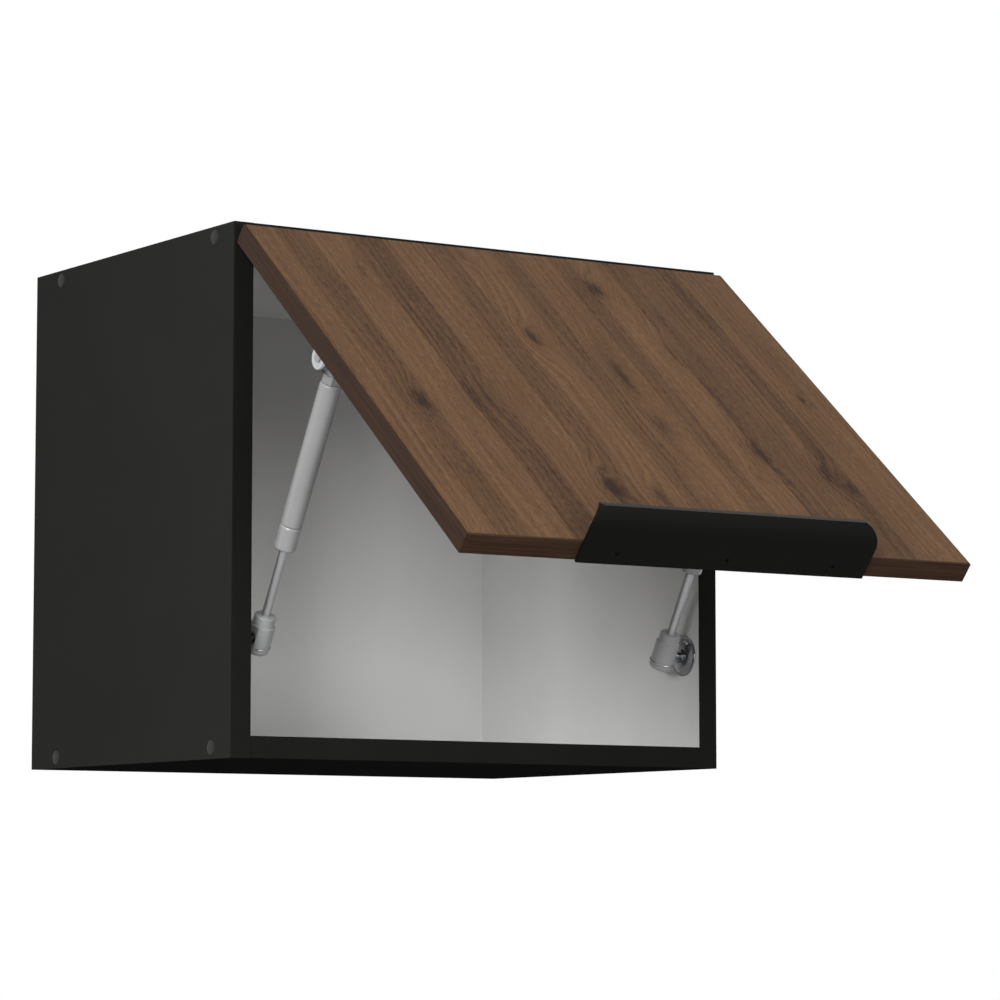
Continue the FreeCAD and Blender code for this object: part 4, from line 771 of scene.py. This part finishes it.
class AddBands(bpy.types.Operator):
    """Lay rounded edge bands on the front of the carcass."""

    bl_idname = "cabinet.edge_bands"
    bl_label = "Carcass edge bands"

    def execute(self, context):
        require(["carcass_edge_bands"])
        radius = context.scene.cabinet_details.band_round / MM

        def section(low, high):
            """The band's section: across the board's edge, and towards the room."""
            return (
                [(low, BAND_BACK), (high, BAND_BACK)]
                + arc((high - radius, BAND_FRONT + radius), radius, 0, -90, 4)
                + arc((low + radius, BAND_FRONT + radius), radius, -90, -180, 4)
            )

        bm = bmesh.new()
        for low in (-OUTER_X, INNER_X):
            extrude(bm, section(low, low + BOARD), 0, HEIGHT, CARCASS)
        # Along the horizontal boards, a section's own Z is the cabinet's X.
        lying = CARCASS @ Matrix(((0, 0, 1, 0), (0, 1, 0, 0), (1, 0, 0, 0), (0, 0, 0, 1)))
        for low in (0, HEIGHT - BOARD):
            extrude(bm, section(low, low + BOARD), -INNER_X, INNER_X, lying)
        piece(
            "front_edge_bands", bm, finish("abs_edge_band"), "cabinet", "carcass_band", "carcass_edge_bands"
        )
        return {"FINISHED"}


class AddCaps(bpy.types.Operator):
    """Press domed caps over the carcass screws."""

    bl_idname = "cabinet.screw_caps"
    bl_label = "Screw caps"

    def execute(self, context):
        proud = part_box("screw_caps")[1].x / MM - OUTER_X
        # A peg in the board, and a thin dome on the board's face.
        profile = [(0, -2.6), (1.9, -2.6), (1.9, 0), (5, 0), (5, 0.25)]
        profile += [(4.85, 0.42), (4.4, 0.56), (3.4, 0.66), (2.0, proud - 0.03), (0, proud)]
        bm = bmesh.new()
        for y in CAPS_Y:
            for z in (BOARD / 2, HEIGHT - BOARD / 2):
                lathe(bm, profile, at(CARCASS, OUTER_X, y, z, TO_PLUS_X), 32)
                lathe(bm, profile, at(CARCASS, -OUTER_X, y, z, TO_MINUS_X), 32)
        piece("domed_screw_caps", bm, finish("polyethylene_cap"), "cabinet", "cap_plastic", "screw_caps")
        return {"FINISHED"}


class DressHangers(bpy.types.Operator):
    """Finish the wall hangers and put cross recesses in their adjusting screws."""

    bl_idname = "cabinet.hangers"
    bl_label = "Wall hangers"

    def execute(self, context):
        require(both("hanger_box", "hanger_hook") + ["hanger_screws"])
        paint(finish("moulded_abs"), *both("hanger_box"))
        paint(finish("zinc_plated_steel"), *both("hanger_hook"))
        low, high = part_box("hanger_screws")
        bm = bmesh.new()
        length = (high.y - low.y) / MM
        for x in (-HANGER_X, HANGER_X):
            for z in HANGER_SCREWS_Z:
                place = at(CARCASS, x, low.y / MM, z, TO_MINUS_Y)
                cross_screw(bm, place, head_height=2.2, length=length, **ADJUSTING)
        steel = finish("zinc_plated_steel")
        piece("hanger_adjusting_screws", bm, steel, "cabinet", "zinc_steel", "hanger_screws")
        return {"FINISHED"}


class DressHinges(bpy.types.Operator):
    """Finish the cup hinges and add their adjusting screws and cross-recess screws."""

    bl_idname = "cabinet.hinges"
    bl_label = "Cup hinges"

    def execute(self, context):
        require(both("hinge_plate", "hinge_arm", "hinge_cup", "hinge_pin"))
        paint(finish("nickel_plated_steel"), *both("hinge_plate", "hinge_arm", "hinge_cup"))
        paint(finish("zinc_plated_steel"), *both("hinge_pin"))
        plates, arms, cups = bmesh.new(), bmesh.new(), bmesh.new()
        for x in (-HINGE_X, HINGE_X):
            for end in (-16, 16):
                cross_screw(plates, at(CARCASS, x + end, HINGE_Y, 343, UPSIDE_DOWN), **COUNTERSUNK)
            under_arm = at(CARCASS, x, HINGE_Y, 328.8, UPSIDE_DOWN)
            cross_screw(arms, under_arm, head_height=1.5, length=10, **ADJUSTING)
            for end in (-22.5, 22.5):
                cross_screw(cups, at(DOOR, x + end, -292.4, 324.7, TO_PLUS_Y), length=13, **DOMED)
        steel = finish("zinc_plated_steel")
        piece("hinge_plate_cross_screws", plates, steel, "cabinet", "steel_screw", "hinge_plate_screws")
        piece("hinge_arm_cross_screws", arms, steel, "cabinet", "steel_screw", "hinge_arm_screws")
        piece("hinge_cup_cross_screws", cups, steel, "door", "steel_screw", "cup_screws")
        return {"FINISHED"}


class AddRosettes(bpy.types.Operator):
    """Make the chromed round plates with their rims, recesses and screws."""

    bl_idname = "cabinet.rosettes"
    bl_label = "Round plates"

    def execute(self, context):
        require(both("strut_rosette") + ["rosette_screws"])
        edge = [(0, 0), (14.75, 0), (14.75, 0.55), (14.55, 0.8), (14.2, 0.9), (13.2, 0.95), (12.9, 0.8)]
        # The dome rises from the rim's groove to the flat crown, which is 12 mm wide and 3 mm high.
        groove, groove_height, crown, height = 12.6, 0.85, 6.0, 3
        dome = []
        for n in range(9):
            part = n / 8
            rise = math.sin(part * QUARTER)
            dome.append((groove + (crown - groove) * part, groove_height + (height - groove_height) * rise))
        profile = edge + dome + [(0, height)]
        # The two screws lie 9.6 mm from the middle, on a line 63 degrees steep.
        pitch, slope = 9.6, math.radians(63)
        dy, dz = pitch * math.cos(slope), pitch * math.sin(slope)
        head_hole = [(0, 0.8), (3.1, 0.8), (3.1, 4), (0, 4)]
        shank_hole = [(0, -1), (1.8, -1), (1.8, 2), (0, 2)]
        screws = bmesh.new()
        for side, sign, turn in (("left", -1, TO_PLUS_X), ("right", 1, TO_MINUS_X)):
            bm = bmesh.new()
            lathe(bm, profile, at(CARCASS, sign * INNER_X, *LOWER_BALL, turn), 72)
            plate = piece(
                f"round_plate_{side}", bm, finish("chrome_plated_zinc"), "cabinet", "chrome_plate",
                f"strut_rosette_{side}",
            )
            holes = bmesh.new()
            for up in (-1, 1):
                y, z = LOWER_BALL[0] + up * dy, LOWER_BALL[1] - up * dz
                on_board = at(CARCASS, sign * INNER_X, y, z, turn)
                lathe(holes, head_hole, on_board, 32)
                lathe(holes, shank_hole, on_board, 24)
                head_top = at(CARCASS, sign * (INNER_X - 2.2), y, z, turn)
                cross_screw(screws, head_top, length=12, **DOMED)
            carve(plate, holes)
        steel = finish("zinc_plated_steel")
        piece("round_plate_cross_screws", screws, steel, "cabinet", "steel_screw", "rosette_screws")
        return {"FINISHED"}


class DressStruts(bpy.types.Operator):
    """Finish the gas struts and mould their ball sockets."""

    bl_idname = "cabinet.struts"
    bl_label = "Gas struts"

    def execute(self, context):
        require(both("strut_tube", "strut_rod", "rod_guide", "strut_piston", "lower_stud", "upper_stud"))
        require(both("lower_socket", "upper_socket", "lower_clip", "upper_clip"))
        paint(finish("strut_enamel"), *both("strut_tube"))
        paint(finish("hard_chromed_steel"), *both("strut_rod"))
        paint(finish("drawn_spring_wire"), *both("lower_clip", "upper_clip"))
        paint(finish("chrome_plated_zinc"), *both("lower_stud", "upper_stud"))
        paint(finish("nitrile_rubber"), *both("rod_guide"))
        paint(finish("turned_aluminium"), *both("strut_piston"))
        rise = Vector((0, UPPER_BALL[0] - LOWER_BALL[0], UPPER_BALL[1] - LOWER_BALL[1]))
        lean = Vector((0, 0, 1)).rotation_difference(rise).to_matrix().to_4x4()
        for side, sign in (("left", -1), ("right", 1)):
            # The socket is open towards the side panel.
            face = Matrix() if sign < 0 else Matrix.Rotation(math.pi, 4, "Z")
            low = at(CARCASS, sign * STRUT_X, *LOWER_BALL, lean @ face)
            high = at(CARCASS, sign * STRUT_X, *UPPER_BALL, lean @ face @ UPSIDE_DOWN)
            # The lower socket's collar is round, and the upper one's has six sides.
            rod, cylinder = f"strut_rod_assembly_{side}", f"strut_cylinder_{side}"
            self.socket(f"lower_ball_socket_{side}", low, rod, f"lower_socket_{side}", collar_sides=56)
            self.socket(f"upper_ball_socket_{side}", high, cylinder, f"upper_socket_{side}", collar_sides=6)
        return {"FINISHED"}

    def socket(self, name, place, body, node, collar_sides):
        """A moulded ball socket: round body with a flat side, arched recess, clip groove and collar."""
        bore, ball = 3.05, 4.06
        profile = [(0, -10.4), (5.6, -10.4)] + arc((5.65, -7.4), 3.0, -90, 0, 6)[1:]
        profile += [(8.65, -5.7), (7.95, -5.7), (7.95, -4.3), (8.65, -4.3), (8.65, 9.9)]
        profile += arc((8.25, 10.0), 0.4, 0, 90, 3) + [(6.2, 11.1), (bore, 11.1), (bore, 8.4), (0, 8.4)]
        bm = bmesh.new()
        lathe(bm, profile, Matrix(), 56)
        bmesh.ops.recalc_face_normals(bm, faces=bm.faces)
        bmesh.ops.transform(bm, matrix=place, verts=bm.verts)
        obj = piece(name, bm, finish("moulded_acetal"), body, "socket_plastic", node)
        collar = [(bore, 10.3), (7.5, 10.3), (7.5, 16.5)] + arc((6.6, 16.5), 0.9, 0, 90, 4) + [(bore, 17.4)]
        added = bmesh.new()
        lathe(added, collar + collar[:1], place, collar_sides)
        carve(obj, added, "UNION")
        # The flat side, up to the collar.
        cut = bmesh.new()
        extrude(cut, [(-12, -12), (-6.2, -12), (-6.2, 12), (-12, 12)], -12, 10.2, place)
        carve(obj, cut)
        # The arch lets the ball's neck in, and its seat is a ball-shaped hollow. In this turned drawing,
        # +X points up the strut and +Z out of the socket's side.
        sideways = place @ TO_MINUS_X
        arch = arc((0, 0), 5.6, -90, 90, 16) + [(-5.0, 5.6), (-5.0, -5.6)]
        cut = bmesh.new()
        extrude(cut, arch, 5.4, 12, sideways)
        carve(obj, cut)
        seat = [(0, 14), (ball, 14)] + arc((0, 0), ball, 0, -90, 8)[:-1] + [(0, -ball)]
        cut = bmesh.new()
        lathe(cut, seat, sideways, 40)
        carve(obj, cut)


class DressBrackets(bpy.types.Operator):
    """Finish the strut brackets on the door, with their screws."""

    bl_idname = "cabinet.brackets"
    bl_label = "Door brackets"

    def execute(self, context):
        require(both("strut_bracket") + ["bracket_screws"])
        paint(finish("zinc_plated_steel"), *both("strut_bracket"))
        bm = bmesh.new()
        for x in (-BRACKET_X, BRACKET_X):
            for end in (-16, 16):
                cross_screw(bm, at(DOOR, x, -292.6, BRACKET_Z + end, TO_PLUS_Y), **COUNTERSUNK)
        steel = finish("zinc_plated_steel")
        piece("bracket_cross_screws", bm, steel, "door", "steel_screw", "bracket_screws")
        return {"FINISHED"}


class DressDoor(bpy.types.Operator):
    """Give the door its walnut laminate and edge bands."""

    bl_idname = "cabinet.door"
    bl_label = "Door"

    def execute(self, context):
        require(["door_panel", "door_edge_bands"])
        paint(finish("walnut_laminate"), "door_panel")
        paint(finish("walnut_band"), "door_edge_bands")
        return {"FINISHED"}


class AddBumpers(bpy.types.Operator):
    """Stick domed bumpers on the back of the door."""

    bl_idname = "cabinet.bumpers"
    bl_label = "Door bumpers"

    def execute(self, context):
        require(["door_bumpers"])
        profile = [(0, 0), (4.5, 0), (4.5, 0.5), (4.4, 0.9), (4.1, 1.4), (3.5, 1.9), (2.6, 2.25), (1.4, 2.44)]
        profile.append((0, 2.5))
        bm = bmesh.new()
        for x in (-BUMPER_X, BUMPER_X):
            lathe(bm, profile, at(DOOR, x, DOOR_BACK_Y, BUMPER_Z, TO_PLUS_Y), 32)
        piece("domed_bumpers", bm, finish("moulded_silicone"), "door", "bumper_rubber", "door_bumpers")
        return {"FINISHED"}


class AddPull(bpy.types.Operator):
    """Bend the edge pull, powder coat it and put in its black screws."""

    bl_idname = "cabinet.edge_pull"
    bl_label = "Edge pull"
    # On the closed door, in millimetres: screws, underside of the plate, and the round front corners.
    SCREWS_X = (-85, 0, 85)
    SCREWS_Y = -302.1
    UNDERSIDE = -4.8
    HALF_LENGTH = 113.0
    CORNER = 15.9
    CORNER_START = -318.1

    def execute(self, context):
        require(["edge_pull", "pull_screws"])
        # Section: the plate under the door, and the lip that curls up from it, thicker towards its rim.
        outer = [(DOOR_BACK_Y + 0.5, self.UNDERSIDE)] + arc((-314.6, 23.3), 28.1, 270, 228.5, 20)
        inner = [(DOOR_BACK_Y + 0.5, DOOR_LOW)] + arc((-318.6, 10.4), 13.2, 270, 190, 20)
        bm = bmesh.new()
        (left_out, left_in), (right_out, right_in) = [
            [
                [bm.verts.new(DOOR @ Vector((side * self.reach(y), y, z))) for y, z in line]
                for line in (outer, inner)
            ]
            for side in (-1, 1)
        ]
        for n in range(len(outer) - 1):
            bm.faces.new((left_out[n], left_out[n + 1], right_out[n + 1], right_out[n]))
            bm.faces.new((left_in[n], right_in[n], right_in[n + 1], left_in[n + 1]))
            bm.faces.new((left_out[n], left_in[n], left_in[n + 1], left_out[n + 1]))
            bm.faces.new((right_out[n], right_out[n + 1], right_in[n + 1], right_in[n]))
        bm.faces.new((left_out[0], right_out[0], right_in[0], left_in[0]))
        bm.faces.new((left_out[-1], left_in[-1], right_in[-1], right_out[-1]))
        bmesh.ops.recalc_face_normals(bm, faces=bm.faces)
        soften(bm, 0.3 * MM, 50)
        pull = piece("curled_edge_pull", bm, finish("powder_coat"), "door", "pull_coating", "edge_pull")
        # Countersinks in the plate, and the screws in them.
        sink = [(0, 0.5), (3.3, 0.5), (3.3, 0), (1.8, -1.55), (1.8, -2.6), (0, -2.6)]
        holes, screws = bmesh.new(), bmesh.new()
        for x in self.SCREWS_X:
            place = at(DOOR, x, self.SCREWS_Y, self.UNDERSIDE, UPSIDE_DOWN)
            lathe(holes, sink, place, 32)
            cross_screw(screws, place, **COUNTERSUNK)
        carve(pull, holes)
        piece("pull_cross_screws", screws, finish("powder_coat"), "door", "steel_screw", "pull_screws")
        return {"FINISHED"}

    def reach(self, y):
        """Half the pull's length at a depth: its two front corners are round."""
        bend = max(self.CORNER_START - y, 0)
        return self.HALF_LENGTH - self.CORNER + math.sqrt(self.CORNER ** 2 - bend ** 2)


class DressHidden(bpy.types.Operator):
    """Finish the screws and dowels inside the carcass joints."""

    bl_idname = "cabinet.inner_joints"
    bl_label = "Screws and dowels"

    def execute(self, context):
        require(["carcass_screws", "dowels"])
        paint(finish("zinc_plated_steel"), "carcass_screws")
        paint(finish("turned_beech"), "dowels")
        return {"FINISHED"}


class SetStage(bpy.types.Operator):
    """Lay the floor, hang the lights and set the camera where the photographer stood."""

    bl_idname = "cabinet.stage"
    bl_label = "Studio"
    # Each light's place and width in metres. They all face a point in front of the cabinet's middle.
    LIGHTS = {
        "key": ((-2.3, -2.1, 0.9), 1.4),
        "front": ((0.3, -3.0, 0.1), 1.4),
        "top": ((0.2, -1.6, 2.4), 1.6),
        "back": ((0.9, 2.3, 1.0), 1.6),
    }
    TARGET = Vector((0, -0.3, 0.18))
    # The camera as fitted to the photo: lens and sensor in millimetres, place in metres, turn in degrees.
    LENS = 141.63
    SENSOR = 36
    CAMERA_PLACE = (-1.4890, -2.5667, -0.0923)
    CAMERA_TURN = (95.776, 0.0, -33.445)

    def execute(self, context):
        scene = context.scene
        studio = scene.cabinet_studio
        self.floor(studio.floor_drop)
        for name, (place, size) in self.LIGHTS.items():
            self.light(name, place, size, getattr(studio, f"{name}_power"))
        self.surroundings(scene, studio.sky)
        camera = bpy.data.objects.new("camera", bpy.data.cameras.new("camera"))
        camera.data.lens = self.LENS
        camera.data.sensor_width = self.SENSOR
        camera.data.clip_start = 0.1
        camera.location = self.CAMERA_PLACE
        camera.rotation_euler = [math.radians(angle) for angle in self.CAMERA_TURN]
        scene.collection.objects.link(camera)
        scene.camera = camera
        scene.view_settings.view_transform = "Standard"
        return {"FINISHED"}

    def floor(self, drop):
        """A plain floor that is white to the camera and keeps the cabinet's shadow."""
        material, tree, shader, _ = new_material("white_painted_floor")
        # White to the camera, metal and glass; a greyer bounce keeps the cabinet's underside dark.
        rays = add(tree, "ShaderNodeLightPath")
        white, grey = (0.85, 0.85, 0.85, 1), (0.12, 0.12, 0.12, 1)
        paint_colour = add(
            tree, "ShaderNodeMix", {"Factor": rays.outputs["Is Diffuse Ray"], "A": white, "B": grey},
            data_type="RGBA",
        )
        tree.links.new(paint_colour.outputs["Result"], shader.inputs["Base Color"])
        shader.inputs["Roughness"].default_value = 0.9
        # Six tenths of what the camera sees is plain pale paint, so that the far floor stays pale.
        pale = add(tree, "ShaderNodeEmission", {"Color": (1, 1, 1, 1), "Strength": 0.95})
        share = add(tree, MATH, {0: rays.outputs["Is Camera Ray"], 1: 0.6}, operation="MULTIPLY")
        seen = add(
            tree, "ShaderNodeMixShader", {0: share.outputs[0], 1: shader.outputs["BSDF"], 2: pale.outputs[0]}
        )
        output = next(node for node in tree.nodes if node.type == "OUTPUT_MATERIAL")
        tree.links.new(seen.outputs[0], output.inputs["Surface"])
        mesh = bpy.data.meshes.new("floor")
        bm = bmesh.new()
        # Four metres to each side, so that its edge lies beyond every light.
        bmesh.ops.create_grid(bm, x_segments=2, y_segments=2, size=4)
        bm.to_mesh(mesh)
        bm.free()
        mesh.materials.append(material)
        floor = bpy.data.objects.new("floor", mesh)
        floor.location = (0, 0, -drop)
        bpy.context.scene.collection.objects.link(floor)

    def light(self, name, place, size, power):
        """A square soft box that faces the cabinet."""
        data = bpy.data.lights.new(name, "AREA")
        data.size = size
        data.energy = power
        lamp = bpy.data.objects.new(name, data)
        lamp.location = place
        lamp.rotation_euler = (self.TARGET - Vector(place)).to_track_quat("-Z", "Y").to_euler()
        bpy.context.scene.collection.objects.link(lamp)

    def surroundings(self, scene, strength):
        """Even light from all round, which the camera, metal and glass see as white."""
        world = bpy.data.worlds.new("studio")
        world.use_nodes = True
        tree = world.node_tree
        tree.nodes.clear()
        rays = add(tree, "ShaderNodeLightPath")
        seen = add(
            tree, MATH,
            {0: rays.outputs["Is Camera Ray"], 1: rays.outputs["Is Glossy Ray"]}, operation="MAXIMUM",
        )
        seen = add(
            tree, MATH, {0: seen.outputs[0], 1: rays.outputs["Is Transmission Ray"]}, operation="MAXIMUM"
        )
        power = add(
            tree, "ShaderNodeMapRange", {"Value": seen.outputs[0], "To Min": strength, "To Max": 1.0}
        )
        sky = add(
            tree, "ShaderNodeBackground", {"Color": (1, 1, 1, 1), "Strength": power.outputs["Result"]}
        )
        add(tree, "ShaderNodeOutputWorld", {"Surface": sky.outputs["Background"]})
        scene.world = world


class CabinetPanel(bpy.types.Panel):
    """Sizes, colours and pieces of the cabinet."""

    bl_idname = "VIEW3D_PT_cabinet"
    bl_label = "Lift-up wall cabinet"
    bl_space_type = "VIEW_3D"
    bl_region_type = "UI"
    bl_category = "Cabinet"

    def draw(self, context):
        for group in PROPERTY_NAMES:
            values = getattr(context.scene, group)
            box = self.layout.box()
            for name in values.bl_rna.properties.keys():
                if name not in ("rna_type", "name"):
                    box.prop(values, name)
        for operator in OPERATORS:
            self.layout.operator(operator.bl_idname)


OPERATORS = (
    SetStage, DressBoards, AddBands, AddCaps, DressHangers, DressHinges, AddRosettes, DressStruts,
    DressBrackets, DressDoor, AddBumpers, AddPull, DressHidden,
)
PROPERTY_NAMES = {
    "cabinet_finishes": CabinetFinishes,
    "cabinet_details": CabinetDetails,
    "cabinet_studio": CabinetStudio,
}
CLASSES = (*PROPERTY_NAMES.values(), *OPERATORS, CabinetPanel)


def register():
    """Register the classes, and give the scene its properties."""
    for item in CLASSES:
        bpy.utils.register_class(item)
    for name, group in PROPERTY_NAMES.items():
        setattr(bpy.types.Scene, name, PointerProperty(type=group))


def unregister():
    """Take the properties and the classes away again."""
    for name in PROPERTY_NAMES:
        delattr(bpy.types.Scene, name)
    for item in reversed(CLASSES):
        bpy.utils.unregister_class(item)


def main():
    """Make the whole scene, one operator after another."""
    register()
    for operator in OPERATORS:
        group, name = operator.bl_idname.split(".")
        getattr(getattr(bpy.ops, group), name)()


if __name__ == "__main__":
    main()
